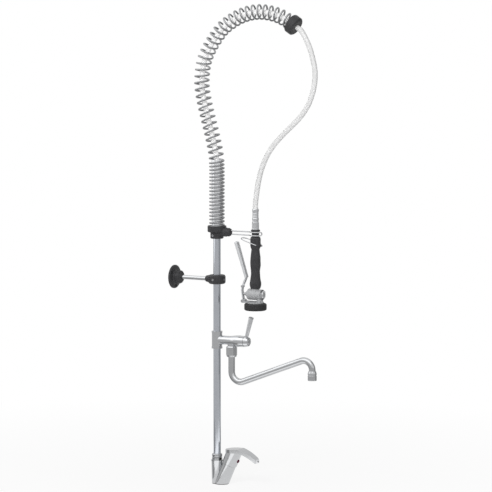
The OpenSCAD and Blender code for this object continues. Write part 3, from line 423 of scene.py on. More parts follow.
def red_index():
    """Dark red; one fine cloud varies both the tone and the roughness."""
    finish = Finish("red_index", IOR=1.2, Coat_Roughness=0.05)
    cloud = finish.noise(400, 2)
    finish.feed("Base Color", finish.between(cloud, (0.075, 0.001, 0.02), (0.11, 0.002, 0.03)))
    finish.feed("Roughness", 0.22 + 0.1 * cloud)
    return finish.material


# %% [markdown]
# ## Which piece gets which finish
# The imported model names a material slot for each of its pieces. A finish for each slot dresses most of
# them. A few pieces share a slot but are polished, brushed or crimped another way, or carry painted light
# or shade, so they have finishes of their own. Painting each piece by hand would work too, but a table is
# easier to read and to change.

# %% Finishes for the imported pieces
SLOT_FINISH = {
    "chrome": CHROME, "satin_steel": SATIN, "spring_steel": WIRE, "screw_steel": SCREW, "brass": BRASS,
    "black_plastic": black_nylon(), "black_rubber": black_rubber(), "white_plastic": white_acetal(),
    "hose_white": pale_hose("pale_hose", 0.73, 0.78, 0.0), "red_plastic": red_index(),
}
NODE_FINISH = {
    "spray_valve_body": BRUSHED, "spray_plate": BRUSHED, "trigger_yoke": PRESSED, "trigger_handle": PRESSED,
    "spring_guide": PALE, "hose_ferrule": CRIMPED, "hose_nut": CRIMPED, "valve_lever_cap": BRUSHED,
    "riser_union_nut": TURNED, "valve_lever": CRIMPED, "hook_wire": CHROME, "hold_ring": CHROME,
    "spout_tube": SHADED_CHROME, "spout_nut": SHADED_CHROME, "aerator_housing": SHADED_CHROME,
    # The hose inside the spring is the same vinyl with a lighter base and a glow: painted light against the
    # shade of the spring turns.
    "hose_in_spring": pale_hose("milky_hose", 0.86, 0.91, 0.18),
}


def finish_for(node):
    """Finish of a CAD node: its own where it has one, otherwise that of its material slot."""
    return NODE_FINISH.get(node, SLOT_FINISH[NODE_SLOT[node]])


for node, piece in frame["nodes"].items():
    piece.data.materials.clear()
    piece.data.materials.append(finish_for(node))
print("finishes", sorted(SLOT_FINISH))


def stands_for(piece, node):
    """The piece takes the place, the body and the finish of a CAD node."""
    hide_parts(node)
    piece.data.materials.append(finish_for(node))
    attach(piece, NODE_BODY[node])
    return piece


free_hose.data.materials.append(SLOT_FINISH["hose_white"])

# %% [markdown]
# ## Turned pieces
# Most fittings come off a lathe. A Screw modifier could spin an outline too, but here the surface is worked
# out directly, with two parameters: the step along the outline and the turn about the axis. Real edges are
# never knife sharp, and a sharp edge catches no light, so each corner of the outline becomes a short
# parabola first. A ripple may be added to the radius for knurls and finger grips.

# %% Lathe
LONGEST_EASE = 0.45
NEARLY_PARALLEL = 0.9


def unit(vector):
    """The same way with length 1."""
    return np.asarray(vector, float) / np.linalg.norm(vector)


def eased(outline, ease, ring=False, steps=5):
    """Outline whose corners are short parabolas, which leave and meet the sides at the distance ease or at
    a share of the shorter side."""
    p = np.asarray(outline, float)
    before = np.roll(p, 1, 0) - p
    after = np.roll(p, -1, 0) - p
    before_len = np.linalg.norm(before, axis=1)
    after_len = np.linalg.norm(after, axis=1)
    reach = np.minimum(ease, LONGEST_EASE * np.minimum(before_len, after_len))
    if not ring:
        reach[[0, -1]] = 0
    start = p + before * (reach / before_len)[:, None]
    end = p + after * (reach / after_len)[:, None]
    t = np.linspace(0, 1, steps)[None, :, None]
    curve = (1 - t)**2 * start[:, None] + 2 * t * (1 - t) * p[:, None] + t**2 * end[:, None]
    curve = curve.reshape(-1, 2)
    return curve if ring else curve[steps - 1:len(curve) - steps + 1]


def turned(name, outline, place, way=(0, 0, 1), ease=0.5, ring=False, sides=96, ripple=None):
    """Outline [radius, distance] in millimetres, carried once round the axis from place along way.
    A ring's outline closes on itself; any other outline is closed by a flat face at each end."""
    way = unit(way)
    first = MIDDLE if abs(way @ MIDDLE) < NEARLY_PARALLEL else np.array([1.0, 0.0, 0.0])
    second = np.cross(way, first)
    curve = eased(outline, ease, ring)
    turn = np.linspace(0, 2 * np.pi, sides, endpoint=False)
    radius = np.repeat(curve[:, :1], sides, 1)
    if ripple:
        radius = radius + ripple(turn[None, :], curve[:, 1:])
    spread = np.cos(turn)[:, None] * first + np.sin(turn)[:, None] * second
    points = np.asarray(place) + MM * (curve[:, 1, None, None] * way + radius[:, :, None] * spread)
    faces = grid_faces(len(curve), sides, ring)
    return new_piece(name, points, faces if ring else capped(faces, len(curve), sides))


def span(node):
    """Middle, lowest and highest corner of a node's box, as arrays in metres."""
    low, high = (np.array(corner, float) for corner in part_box(node))
    return (low + high) / 2, low, high


def foot_of(node):
    """Middle of the underside of a node's box."""
    middle, low, _ = span(node)
    return np.array([middle[0], middle[1], low[2]])


def fitting(name, node, outline, place, *way, **turning):
    """Turned piece that takes the place of a CAD node."""
    return stands_for(turned(name, outline, place, *way, **turning), node)


# %% [markdown]
# ## Riser tubes and their nut
# The column is two lengths of 18 mm tube with a 1.5 mm wall, and the nut at the foot has two polished rings
# with a groove between them. A cylinder with a Solidify modifier would give a tube, but its ends would stay
# sharp, so all three are turned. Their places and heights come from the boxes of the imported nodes.

# %% Riser
RISER_R = 9.0
RISER_BORE = 7.5


def riser_tube(name, node):
    """Sleeve as high as the node, with its ends eased."""
    _, low, high = span(node)
    height = (high - low)[2] / MM
    outline = [(RISER_BORE, 0), (RISER_R, 0), (RISER_R, height), (RISER_BORE, height)]
    fitting(name, node, outline, foot_of(node), ease=0.4, ring=True)
    print(name, round(float(height), 1), "mm")


riser_tube("lower_riser_tube", "lower_riser")
riser_tube("upper_riser_tube", "upper_riser")
fitting("riser_foot_nut", "riser_union_nut", [
    (9.1, 0), (11.8, 0), (12.5, 0.8), (12.5, 5.2), (11.2, 5.9), (11.2, 6.6), (12.5, 7.3), (12.5, 13),
    (11, 14.7), (9.1, 14.7)], foot_of("riser_union_nut"), ease=0.5, ring=True)

# %% [markdown]
# ## Castings
# The mixer, the tee, the brackets and the spray valve are castings with bores and flats, which no single
# outline can sweep, and the pressed yoke of the trigger is treated like them. They could be modelled again
# from boxes and cylinders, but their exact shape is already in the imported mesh, as loose triangles. A copy
# is merged, its coplanar triangles are joined into whole faces, and a narrow Bevel gives every sharp edge
# the small radius of a polished casting.

# %% Castings with eased edges
SAME_POINT = 0.002 * MM
SAME_PLANE = math.radians(0.4)


def casting(name, node, edge, segments=3, sharp=28):
    """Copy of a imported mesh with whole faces; edges sharper than an angle get a bevel of so many mm."""
    mesh = frame["nodes"][node].data.copy()
    mesh.name = name
    shell = bmesh.new()
    shell.from_mesh(mesh)
    bmesh.ops.remove_doubles(shell, verts=shell.verts, dist=SAME_POINT)
    bmesh.ops.dissolve_limit(shell, angle_limit=SAME_PLANE, verts=shell.verts, edges=shell.edges)
    shell.to_mesh(mesh)
    shell.free()
    mesh.materials.clear()
    piece = shown(name, mesh, sharp)
    bevel = piece.modifiers.new("eased_edge", "BEVEL")
    bevel.width = edge * MM
    bevel.segments = segments
    bevel.limit_method = "ANGLE"
    bevel.angle_limit = math.radians(sharp)
    bevel.use_clamp_overlap = True
    bevel.harden_normals = True
    return stands_for(piece, node)


CASTING_EDGES = {
    "mixer_body": 0.6, "mixer_lever": 1.2, "tee_body": 0.5, "spout_nut": 0.5, "wall_clamp": 1.0,
    "wall_flange": 0.7, "hook_bracket": 0.8, "spray_valve_body": 0.5, "bonnet_cap": 0.5,
    "trigger_yoke": 0.3,
}
castings = {node: casting("cast_" + node, node, edge) for node, edge in CASTING_EDGES.items()}
print("castings", {node: len(piece.data.polygons) for node, piece in castings.items()})

# %% [markdown]
# ## Index button
# A red button on the front of the mixer's hood hides the screw of the lever. A flattened sphere would show
# the dome, but a turned outline also gives the short skirt that sinks into the hood. Its axis is square to
# the axis that the mixer turns on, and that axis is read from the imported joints.

# %% Index button
HOOD_PAST_PLUG = 2.1
JOINTS = {joint["name"]: joint for joint in frame["record"]["behaviour"]["joints"]}
mixer_axis = JOINTS["mixer_turn"]["axis"]
index_way = unit(np.cross(MIDDLE, mixer_axis))
index_place = span("index_plug")[0] + HOOD_PAST_PLUG * MM * index_way
fitting("index_button", "index_plug", [
    (4.4, -1.2), (4.4, 0.4), (4.0, 1.3), (3.0, 2.0), (1.6, 2.4), (0.4, 2.5)],
    index_place, index_way, ease=0.4, sides=48)
print("index button at", np.round(index_place, 4))

# %% [markdown]
# ## Tap lever, hub and aerator
# The hub turns on the barrel's axis, so its outline runs along X. The lever is a rod that widens towards a
# flat metal button and leans forward. The aerator is a short sleeve on the end of the spout with a groove
# for a grip. They could be cylinders with bevels, but all come off a lathe, so one function makes them and
# only the outline and the axis differ.

# %% Tap and aerator
TAP_AXIS = np.array([1.0, 0.0, 0.0])
RISER_X = -9.0
LEVER_FROM_RISER = 78.6
LEVER_TILT = math.radians(15)
hub_middle, hub_low, _ = span("valve_hub")
hub_start = np.array([hub_low[0], 0, hub_middle[2]])
fitting("tap_hub", "valve_hub", [
    (4.1, 0), (12.7, 0), (13, 0.5), (12.8, 2.4), (12.3, 4.7), (11.4, 8.2), (10.2, 10.7), (7.5, 10.7),
    (7.5, 9.5), (4.1, 9.5)], hub_start, TAP_AXIS, ease=0.6)

cap_low = span("hub_cap")[1]
fitting("hub_button", "hub_cap", [
    (0.4, 0), (7.4, 0), (7.4, 1.5), (6.6, 2.2), (4.6, 2.75), (0.4, 2.8)],
    (cap_low[0], 0, hub_middle[2]), TAP_AXIS, ease=0.5)

lever_way = np.array([math.sin(LEVER_TILT), 0, math.cos(LEVER_TILT)])
lever_start = np.array([(LEVER_FROM_RISER + RISER_X) * MM, 0, hub_middle[2]])
fitting("tap_lever", "valve_lever", [
    (2.4, 9.2), (2.4, 13), (3.7, 13), (4.2, 13.6), (5.8, 58.5), (5.4, 59), (2.4, 59)],
    lever_start, lever_way, ease=0.5, sides=64)
fitting("tap_lever_button", "valve_lever_cap", [
    (0.4, 59), (6.0, 59), (6.2, 59.3), (6.2, 60.9), (5.2, 61.9), (0.4, 62)],
    lever_start, lever_way, ease=0.5, sides=64)

fitting("aerator_sleeve", "aerator_housing", [
    (8.2, 0), (10.2, 0), (10.8, 0.8), (10.8, 12), (10, 12.5), (10, 13.6), (10.8, 14.1), (10.8, 17),
    (8.95, 22.8), (8.05, 23), (8.05, 10.5), (8.2, 10)], foot_of("aerator_housing"), ease=0.4, ring=True)
print("tap axis height", round(float(hub_middle[2]), 4))

# %% [markdown]
# ## Support spring
# The spring carries the hose over the arch. It is one wire: close turns round the guide tube, then open
# turns along the arch. An Array modifier could repeat one turn along a curve, but its copies wouldn't join
# into one wire. Here the wire's middle line is the arch's point plus the coil's radius times a direction
# that turns once for each turn. Each ring of the wire is keyed to that direction, so the tube has no twist.

# %% Arch and spring
GUIDE_TOP = 788 * MM
CUP_FLOOR = 617 * MM
WIRE_D = 4.4 * MM
COIL_D = 33.5 * MM
CLOSE_TURNS = 19
OPEN_TURNS = 36
TURNS = CLOSE_TURNS + OPEN_TURNS
POINTS_PER_TURN = 44
WIRE_SIDES = 14
SEAT_GAP = 0.5 * MM
GUIDE_PAST_COIL = 4 * MM
CAP_FLOOR_T = 5 * MM
arch_path = smooth_route(arch_route, 60)
arch_run = run_of(arch_path)
arch_headings = headings(arch_path)


def along_arch(run, rows):
    """Rows of values given at the points of the arch, read at lengths along it."""
    return np.stack([np.interp(run, arch_run, rows[:, k]) for k in range(3)], 1)


def coil(turns):
    """Middle line of the wire and the way out of the coil, after so many turns."""
    seat = WIRE_D + SEAT_GAP
    close_end = GUIDE_TOP - CUP_FLOOR - GUIDE_PAST_COIL
    spring_end = arch_run[-1] - CAP_FLOOR_T - seat
    run = np.interp(turns, [0, CLOSE_TURNS, TURNS], [seat, close_end, spring_end])
    across = np.cross(MIDDLE, along_arch(run, arch_headings))
    across /= np.linalg.norm(across, axis=1, keepdims=True)
    angle = 2 * np.pi * turns[:, None]
    out = np.cos(angle) * across + np.sin(angle) * MIDDLE
    return along_arch(run, arch_path) + COIL_D / 2 * out, out


def wound(name, path, out, radius, sides):
    """Wire along a path, with each ring keyed to the way out of the coil."""
    way = headings(path)
    side = out - np.sum(out * way, 1, keepdims=True) * way
    return tube(name, path, side / np.linalg.norm(side, axis=1, keepdims=True), radius, sides)


wire_path, wire_out = coil(np.linspace(0, TURNS, POINTS_PER_TURN * TURNS + 1))
spring = stands_for(wound("spring_wire", wire_path, wire_out, WIRE_D / 2, WIRE_SIDES), "support_spring")
print("spring wire", round(float(run_of(wire_path)[-1]), 2), "m long,", len(spring.data.polygons), "faces")

# %% [markdown]
# ## Inside the spring
# A thin tube keeps the close turns straight, and between the open turns the hose shows on its way over the
# arch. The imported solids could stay, but their flats would catch the light between the turns, so the guide
# is turned afresh and the hose is carried along the arch as the free one is along its route.

# %% Guide tube and hose in the spring
NIPPLE_TOP = 660 * MM
INNER_RINGS = 260
guide_height = (GUIDE_TOP - CUP_FLOOR) / MM
fitting("spring_guide_tube", "spring_guide", [
    (10.8, 0), (12.8, 0), (12.8, guide_height), (10.8, guide_height)],
    foot_of("spring_guide"), ease=0.6, ring=True)
inner_run = np.linspace(NIPPLE_TOP - CUP_FLOOR, arch_run[-1], INNER_RINGS)
inner_hose = tube("hose_in_arch", along_arch(inner_run, arch_path), MIDDLE, HOSE_D / 2)
stands_for(inner_hose, "hose_in_spring")
print("hose in the spring", round(float(inner_run[-1] - inner_run[0]), 3), "m")

# %% [markdown]
# ## Spring cap
# A black moulded cap closes the spring at the far end of the arch and lets the hose out through its floor.
# A bored cylinder could be tilted as an object, but a pattern on Object coordinates would tilt with it.
# Here the outline is turned about the last heading of the arch, so the object itself stays unturned.

# %% Spring cap
cap_way = np.insert(unit(arch_route[-1] - arch_route[-2]), 1, 0)
fitting("spring_end_cap", "spring_cap", [
    (6.5, 0), (20, 0), (23.4, -3.4), (23.4, -18.2), (21.6, -21), (19.7, -21), (19.5, -20), (19.5, -5),
    (6.5, -5)], arch_path[-1], cap_way, ease=1.4, ring=True)
print("cap dips", round(math.degrees(math.asin(-cap_way[2])), 1), "degrees")

# %% [markdown]
# ## Bent spout
# The spout is one length of 16 mm tube: a drop, a tight bend, a long rising run and a bend down to the
# aerator. A bevelled curve would need handles set by eye. Its middle line is straight stretches and arcs
# instead, worked out from the reach, the rise and the two bend radii, and resampled evenly before the round
# section is carried along it.

# %% Spout
SPOUT_R = 8 * MM
SPOUT_RISE = math.radians(21)
LOW_BEND = 24 * MM
HIGH_BEND = 22 * MM
SPOUT_TOP = 334 * MM
LOW_BEND_Z = 277 * MM
END_DROP = 9 * MM
SPOUT_RINGS = 320


def bend(centre, radius, start, end, count=40):
    """Arc in the upright plane about [x, z], from one angle to another."""
    angle = np.linspace(start, end, count)
    return np.stack([centre[0] + radius * np.cos(angle), 0 * angle, centre[1] + radius * np.sin(angle)], 1)


swivel_x = foot_of("spout_nut")[0]
outlet_x = foot_of("aerator_housing")[0]
low_arc = bend((swivel_x + LOW_BEND, LOW_BEND_Z), LOW_BEND, math.pi, 1.5 * math.pi + SPOUT_RISE)
run_end_x = outlet_x - HIGH_BEND * (1 + math.sin(SPOUT_RISE))
run_end_z = low_arc[-1, 2] + (run_end_x - low_arc[-1, 0]) * math.tan(SPOUT_RISE)
high_centre = (outlet_x - HIGH_BEND, run_end_z - HIGH_BEND * math.cos(SPOUT_RISE))
high_arc = bend(high_centre, HIGH_BEND, math.pi / 2 + SPOUT_RISE, 0)
spout_line = np.concatenate([[(swivel_x, 0, SPOUT_TOP)], low_arc, high_arc,
                             [(outlet_x, 0, high_centre[1] - END_DROP)]])
stands_for(tube("spout_bend", resampled(spout_line, SPOUT_RINGS), MIDDLE, SPOUT_R, 48), "spout_tube")
print("spout tube", round(float(run_of(spout_line)[-1]), 3), "m")

# %% [markdown]
# ## Wire hook
# The hook is a hairpin of 3 mm wire. Each leg leaves the bracket, steps aside, curls round the neck of the
# hand spray and runs out into a tail, and a U-turn joins the two legs. A bevelled curve could twist where
# the wire leaves its plane. Here a leg stays level, so upright serves as one direction of its rings; in the
# U-turn the level direction stays constant instead, and the frames meet.

# %% Hook wire
UPRIGHT = np.array([0.0, 0.0, 1.0])
HOOK_WIRE_R = 1.5 * MM
HOOK_STEP_R = 14 * MM
HOOK_SIDE = 10.9 * MM
HOOK_CURL_END = math.radians(320)
HOOK_TAIL = 8 * MM
HOOK_TOP_Z = 618.2 * MM
HOOK_LOW_Z = 610.2 * MM
LEG_RINGS = 160
HANDSET_X = foot_of("spray_bumper")[0]
hook_start_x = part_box("hook_wire")[0][0]


def plan_arc(centre, radius, start, end, count=24):
    """Arc in plan about [x, y], from one angle to another."""
    angle = np.linspace(start, end, count)
    return np.stack([centre[0] + radius * np.cos(angle), centre[1] + radius * np.sin(angle)], 1)


step_angle = math.acos(1 - HOOK_SIDE / (2 * HOOK_STEP_R))
step_x = HANDSET_X - 2 * HOOK_STEP_R * math.sin(step_angle)
curl_way = np.array([math.cos(HOOK_CURL_END), math.sin(HOOK_CURL_END)])
curl_end = np.array([HANDSET_X, 0]) + HOOK_SIDE * curl_way
tail_way = np.array([-curl_way[1], curl_way[0]])
leg_plan = np.concatenate([
    [(hook_start_x, 0)],
    plan_arc((step_x, -HOOK_STEP_R), HOOK_STEP_R, math.pi / 2, math.pi / 2 - step_angle),
    plan_arc((HANDSET_X, HOOK_STEP_R - HOOK_SIDE), HOOK_STEP_R,
             1.5 * math.pi - step_angle, 1.5 * math.pi)[1:],
    plan_arc((HANDSET_X, 0), HOOK_SIDE, -math.pi / 2, HOOK_CURL_END - 2 * math.pi)[1:],
    [curl_end + HOOK_TAIL * tail_way]])
leg = resampled(np.column_stack([leg_plan, np.full(len(leg_plan), HOOK_TOP_Z)]), LEG_RINGS)
leg_side = np.cross(headings(leg), UPRIGHT)
loop_r = (HOOK_TOP_Z - HOOK_LOW_Z) / 2
loop_angle = np.linspace(0, np.pi, 24)[1:-1, None]
tail = np.array([*tail_way, 0.0])
loop = leg[-1] - loop_r * UPRIGHT + loop_r * (np.cos(loop_angle) * UPRIGHT + np.sin(loop_angle) * tail)
low_leg = leg[::-1] - 2 * loop_r * UPRIGHT
hook_line = np.concatenate([leg, loop, low_leg])
hook_side = np.concatenate([leg_side, np.repeat(leg_side[-1:], len(loop), 0), leg_side[::-1]])
stands_for(tube("hook_hairpin", hook_line, hook_side, HOOK_WIRE_R, 16), "hook_wire")
print("hook wire", round(float(run_of(hook_line)[-1]), 3), "m")

# %% [markdown]
# ## Holding ring
# A loop of thinner wire hangs in the collar of the grip and swings over the trigger to hold it down. It
# lies in one tilted plane, so it is drawn flat, as two eased corners and a half circle, and the plane's
# normal serves as one direction of every ring of points. A torus could give the bend, but not the legs.

# %% Holding ring
RING_WIRE_R = 1.25 * MM
RING_HALF_W = 14.2
RING_STUB = 6.5
RING_LEG = 3.0
RING_CORNER = 1.6
RING_ARM = 33.0
RING_TILT = math.radians(18)
RING_PIVOT = np.array([HANDSET_X + 8 * MM, 0, 588 * MM])
ring_bend = plan_arc((-RING_ARM, 0), RING_HALF_W, math.pi / 2, 1.5 * math.pi, 60)
ring_leg = [(0, RING_STUB), (0, RING_HALF_W), (-RING_LEG, RING_HALF_W)]
near_leg = eased(ring_leg, RING_CORNER, steps=9)
far_leg = near_leg[::-1] * (1, -1)
ring_plan = np.concatenate([near_leg, ring_bend, far_leg]) * MM
arm_way = np.array([math.cos(RING_TILT), 0, -math.sin(RING_TILT)])
ring_line = RING_PIVOT + ring_plan[:, :1] * arm_way + ring_plan[:, 1:] * MIDDLE
ring_normal = np.cross(arm_way, MIDDLE)
stands_for(tube("holding_ring", ring_line, ring_normal, RING_WIRE_R, 16), "hold_ring")
print("holding ring", round(float(run_of(ring_line)[-1]), 3), "m of wire")

# %% [markdown]
# ## Hand spray
# The hose ends in a crimped ferrule and a knurled nut, and below them comes the black neck that hangs in
# the hook. All three are turned about one upright axis. A Boolean could cut the crimps and the knurl, but
# they are only fractions of a millimetre deep, so they are ripples on the radius, written as functions of
# the turn and the height.

# %% Ferrule, nut and neck
hand_axis = np.array([HANDSET_X, 0.0, 0.0])
CRIMPS = (656.5, 660.5, 664.5)
CRIMP_DEPTH = 0.35
CRIMP_SPREAD = 0.7


def crimp_rings(turn, height):
    """Three shallow grooves, each a bell curve of the height."""
    bells = sum(np.exp(-((height - crimp) / CRIMP_SPREAD)**2) for crimp in CRIMPS)
    return -CRIMP_DEPTH * bells + 0 * turn


ferrule_outline = [(6.3, 647), (7.6, 647), (8, 647.5), (8, 651), (7.4, 652.5)]
ferrule_outline += [(7.4, height) for height in np.linspace(653.5, 667, 40)]
ferrule_outline += [(8, 668.5), (8, 673), (7.4, 674), (6.3, 674)]
fitting("crimped_ferrule", "hose_ferrule", ferrule_outline, hand_axis, ease=0.3, sides=72,
        ripple=crimp_rings)

KNURLS = 30
KNURL_LOW = 627.0
KNURL_TOP = 640.0
KNURL_HEIGHT = 0.28
KNURL_MEAN = 0.6


def knurl(turn, height):
    """Ridges along the nut, each half a cosine of the turn; they fade out over 1 mm at both ends."""
    band = np.clip(height - KNURL_LOW, 0, 1) * np.clip(KNURL_TOP - height, 0, 1)
    return KNURL_HEIGHT * band * (np.abs(np.cos(KNURLS * turn / 2)) - KNURL_MEAN)


nut_outline = [
    (6.6, 624), (8.2, 624), (8.5, 624.4), (8.5, 626.5), (8.3, 627), (8.3, 628.2), (8.3, 638.8), (8.3, 640),
    (8.5, 640.5), (8.5, 641.8), (7.6, 642.3), (7.6, 646.6), (7.2, 647), (4, 647)]
fitting("knurled_nut", "hose_nut", nut_outline, hand_axis, ease=0.3, sides=240, ripple=knurl)

fitting("spray_neck", "handset_neck", [
    (4, 477.5), (7, 477.5), (7, 606.9), (8.85, 607), (8.85, 619), (10.5, 619.9), (11, 620.5), (11, 623.4),
    (10.5, 624), (6.5, 624), (6.5, 636), (4, 636)], hand_axis, ease=0.4)
print("knurls", KNURLS)

# %% [markdown]
# ## Grip
# The grip is moulded round the neck in soft waves for the fingers. It could be sculpted, but the waves are
# only one more outline to turn: a smooth cubic through seven radii. Four shallow flats and a faint ripple
# under the fingers are added to the radius. A small spike on the collar is turned about X and rides with
# the grip.

# %% Grip
GRIP_WAVES = [(12.4, 484.5), (14, 493), (12.2, 506), (10.8, 521), (12.6, 542), (11.6, 561), (9.8, 577)]
LONG_LOW = 490
LONG_TOP = 577
FADE_LOW = 12
FADE_TOP = 8
FLAT_DEPTH = 0.45
FINGER_DEPTH = 0.25
FINGER_PITCH = 21


def finger_waves(turn, height):
    """Four flats, a high power of the cosine of twice the turn, and a sine of the height on one side. Both
    fade out at the ends of the long part."""
    fade_in = np.clip((height - LONG_LOW) / FADE_LOW, 0, 1)
    fade_out = np.clip((LONG_TOP - height) / FADE_TOP, 0, 1)
    flats = -FLAT_DEPTH * np.cos(2 * turn)**8
    wave = np.sin(2 * np.pi * (height - LONG_LOW) / FINGER_PITCH)
    fingers = FINGER_DEPTH * wave * np.clip(-np.sin(turn), 0, 1)
    return fade_in * fade_out * (flats + fingers)


wave_curve = smooth_route(np.array(GRIP_WAVES), 14)[:, [0, 2]]
grip_outline = np.concatenate([
    [(7.1, 482), (11, 482), (11.6, 482.7)], wave_curve,
    [(11.2, 580), (12.3, 584.4), (12.5, 586), (12.5, 602.5), (11.4, 606.2), (9.9, 606.9), (7.1, 606.9)]])
grip = fitting("moulded_grip", "grip", grip_outline, hand_axis, ease=0.5, ripple=finger_waves)
spike_place = hand_axis + np.array([10, 0, 586]) * MM
grip_spike = turned("grip_spike", [(3.4, 0), (3.3, 1.5), (2.2, 6), (1.1, 8.5), (0.5, 9)],
                    spike_place, TAP_AXIS, ease=0.8, sides=48)
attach(grip_spike, "handset")
grip_spike.data.materials.append(SLOT_FINISH["black_plastic"])
print("grip", len(grip.data.polygons), "faces")

# %% [markdown]
# ## Spray bumper
# A rubber ring guards the rim of the spray face from knocks. A torus would look too round: the real ring
# has a straight side between two quarter rounds, so its outline is two arcs, and it is turned like the
# rest.

# %% Spray bumper
BUMPER_HEIGHT = 16.9
BUMPER_CORE_R = 23.0
BUMPER_ROUND = 4.0
bumper_low = plan_arc((BUMPER_CORE_R, BUMPER_ROUND), BUMPER_ROUND, -math.pi / 2, 0, 12)
bumper_top = plan_arc((BUMPER_CORE_R, BUMPER_HEIGHT - BUMPER_ROUND), BUMPER_ROUND, 0, math.pi / 2, 12)
bumper_outline = np.concatenate([
    [(19.1, 1.2), (19.8, 0.4)], bumper_low, bumper_top, [(20, BUMPER_HEIGHT), (19.1, 16.4)]])
fitting("rubber_bumper", "spray_bumper", bumper_outline, foot_of("spray_bumper"), ease=0.3, ring=True)
print("bumper", len(bumper_outline), "points in its outline")

# %% [markdown]
# ## Return spring
# Inside the spray valve a short spring sits between the head of the push stem and the bonnet. A shape key
# could squeeze it, as one end follows the stem and the other stays with the body. Here it is wound once,
# at the length of the imported spring, and left in place.

# %% Return spring
RETURN_TURNS = 4
RETURN_POINTS = 32
RETURN_WIRE_R = 0.5 * MM
coil_middle, coil_low, coil_high = span("stem_spring")
return_turns = np.linspace(0, RETURN_TURNS, RETURN_POINTS * RETURN_TURNS + 1)
return_angle = 2 * np.pi * return_turns[:, None]
return_out = np.cos(return_angle) * MIDDLE + np.sin(return_angle) * UPRIGHT
return_ends = [coil_low[0] + RETURN_WIRE_R, coil_high[0] - RETURN_WIRE_R]
return_x = np.interp(return_turns, [0, RETURN_TURNS], return_ends)
coil_r = (coil_high - coil_low)[1] / 2 - RETURN_WIRE_R
return_path = (coil_middle - coil_middle[0] * TAP_AXIS) + return_x[:, None] * TAP_AXIS + coil_r * return_out
return_spring = wound("return_spring", return_path, return_out, RETURN_WIRE_R, 12)
return_spring.data.materials.append(finish_for("stem_spring"))
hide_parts("stem_spring")
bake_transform(return_spring)
print("return spring", round(float(coil_high[0] - coil_low[0]), 4), "m long")

# %% [markdown]
# ## Trigger
# The trigger is a flat bar with rounded edges that widens towards its rounded top, on a narrow tail at an
# angle to it. It could be a box with a Bevel and a Simple Deform taper, but then the rounding would taper
# too. Instead a rounded box section is carried along each stretch, with two half widths that change.

# %% Trigger bar
KNUCKLE = np.array([-34.8, 486])
KNEE = np.array([-24.6, 509])
BAR_TOP = np.array([-51.2, 589.5])
BAR_SINK = 1.5
NOSE_LENGTH = 4.4
NOSE_ROUND = 4.42
BAR_HALF_WIDTH = 5
BAR_WIDENS = 1.5
BAR_HALF_THICK = 3.5
BAR_THICKENS = 0.9
TAIL_RINGS = 24
TAIL_PAST_KNUCKLE = 0.11
TAIL_PAST_KNEE = 0.04
SQUARENESS = 0.45


def bar_piece(name, line, half_width, half_thick, sides=40):
    """Rounded box section, a circle whose sine and cosine are raised to a small power, carried along a line
    [x, z] in millimetres from the spray's axis."""
    path = hand_axis + np.column_stack([line[:, 0], np.zeros(len(line)), line[:, 1]]) * MM
    out = np.cross(MIDDLE, headings(path))
    turn = np.linspace(0, 2 * np.pi, sides, endpoint=False)
    across = np.sign(np.cos(turn)) * np.abs(np.cos(turn))**SQUARENESS
    through = np.sign(np.sin(turn)) * np.abs(np.sin(turn))**SQUARENESS
    points = path[:, None] + MM * (
        half_width[:, None, None] * across[None, :, None] * MIDDLE
        + half_thick[:, None, None] * through[None, :, None] * out[:, None])
    return new_piece(name, points, capped(grid_faces(len(line), sides), len(line), sides))


bar_length = np.linalg.norm(BAR_TOP - KNEE)
bar_way = (BAR_TOP - KNEE) / bar_length
nose = NOSE_LENGTH * np.sin(np.linspace(0, 1.5, 16)[1:])
rise = np.concatenate([np.linspace(-BAR_SINK, bar_length, 50), bar_length + nose])
taper = np.clip(rise / bar_length, 0, 1)
past_top = np.clip(rise - bar_length, 0, None) / NOSE_ROUND
rounding = np.sqrt(np.clip(1 - past_top**2, 0.001, 1))
bar_line = KNEE + rise[:, None] * bar_way
bar_width = (BAR_HALF_WIDTH + BAR_WIDENS * taper) * rounding
bar_thick = (BAR_HALF_THICK + BAR_THICKENS * taper) * rounding
stands_for(bar_piece("trigger_bar", bar_line, bar_width, bar_thick), "trigger_handle")

tail_run = KNEE - KNUCKLE
tail_start = KNUCKLE - TAIL_PAST_KNUCKLE * tail_run
tail_end = KNEE + TAIL_PAST_KNEE * tail_run
tail_line = np.linspace(tail_start, tail_end, TAIL_RINGS)
tail_share = np.linspace(0, 1, TAIL_RINGS)
tail_width = np.interp(tail_share, [0, 0.36, 0.42, 1], [1.4, 1.4, 4, 4])
tail_thick = np.interp(tail_share, [0, 0.05, 0.1, 1], [1.6, 2.6, 2.9, 2.2])
trigger_tail = bar_piece("trigger_tail", tail_line, tail_width, tail_thick)
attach(trigger_tail, "trigger")
trigger_tail.data.materials.append(PRESSED)
print("trigger bar", round(float(bar_length), 1), "mm")

# %% [markdown]
# ## Floor and light
# The picture has a white ground with no horizon. A plain white world would do that, but it would also light
# the object from all round and wash it out. So a pale floor under the object and a white world show white
# to the camera and in mirrors, while less light than that reaches the object.

# %% Stage and world
FLOOR_HALF = 6.0
FLOOR_TONE = 0.95
FLOOR_WHITE = 0.86
FLOOR_NEAR = 0.1
FLOOR_FADE = 1.4
WORLD_LIGHT = 0.36


def bare_graph(holder):
    """Empty node graph of a material or a world."""
    holder.use_nodes = True
    holder.node_tree.nodes.clear()
    return Graph(holder.node_tree)


def bare_material(piece, name):
    """Puts a new material on a piece and gives its empty node graph."""
    material = bpy.data.materials.new(name)
    piece.data.materials.append(material)
    return bare_graph(material)


def shown_white(graph):
    """1 for a ray that the camera, a mirror or glass sends out, otherwise 0."""
    path = graph.add("ShaderNodeLightPath", output="Is Camera Ray")
    return path.or_more(path.twin("Is Glossy Ray")).or_more(path.twin("Is Transmission Ray"))


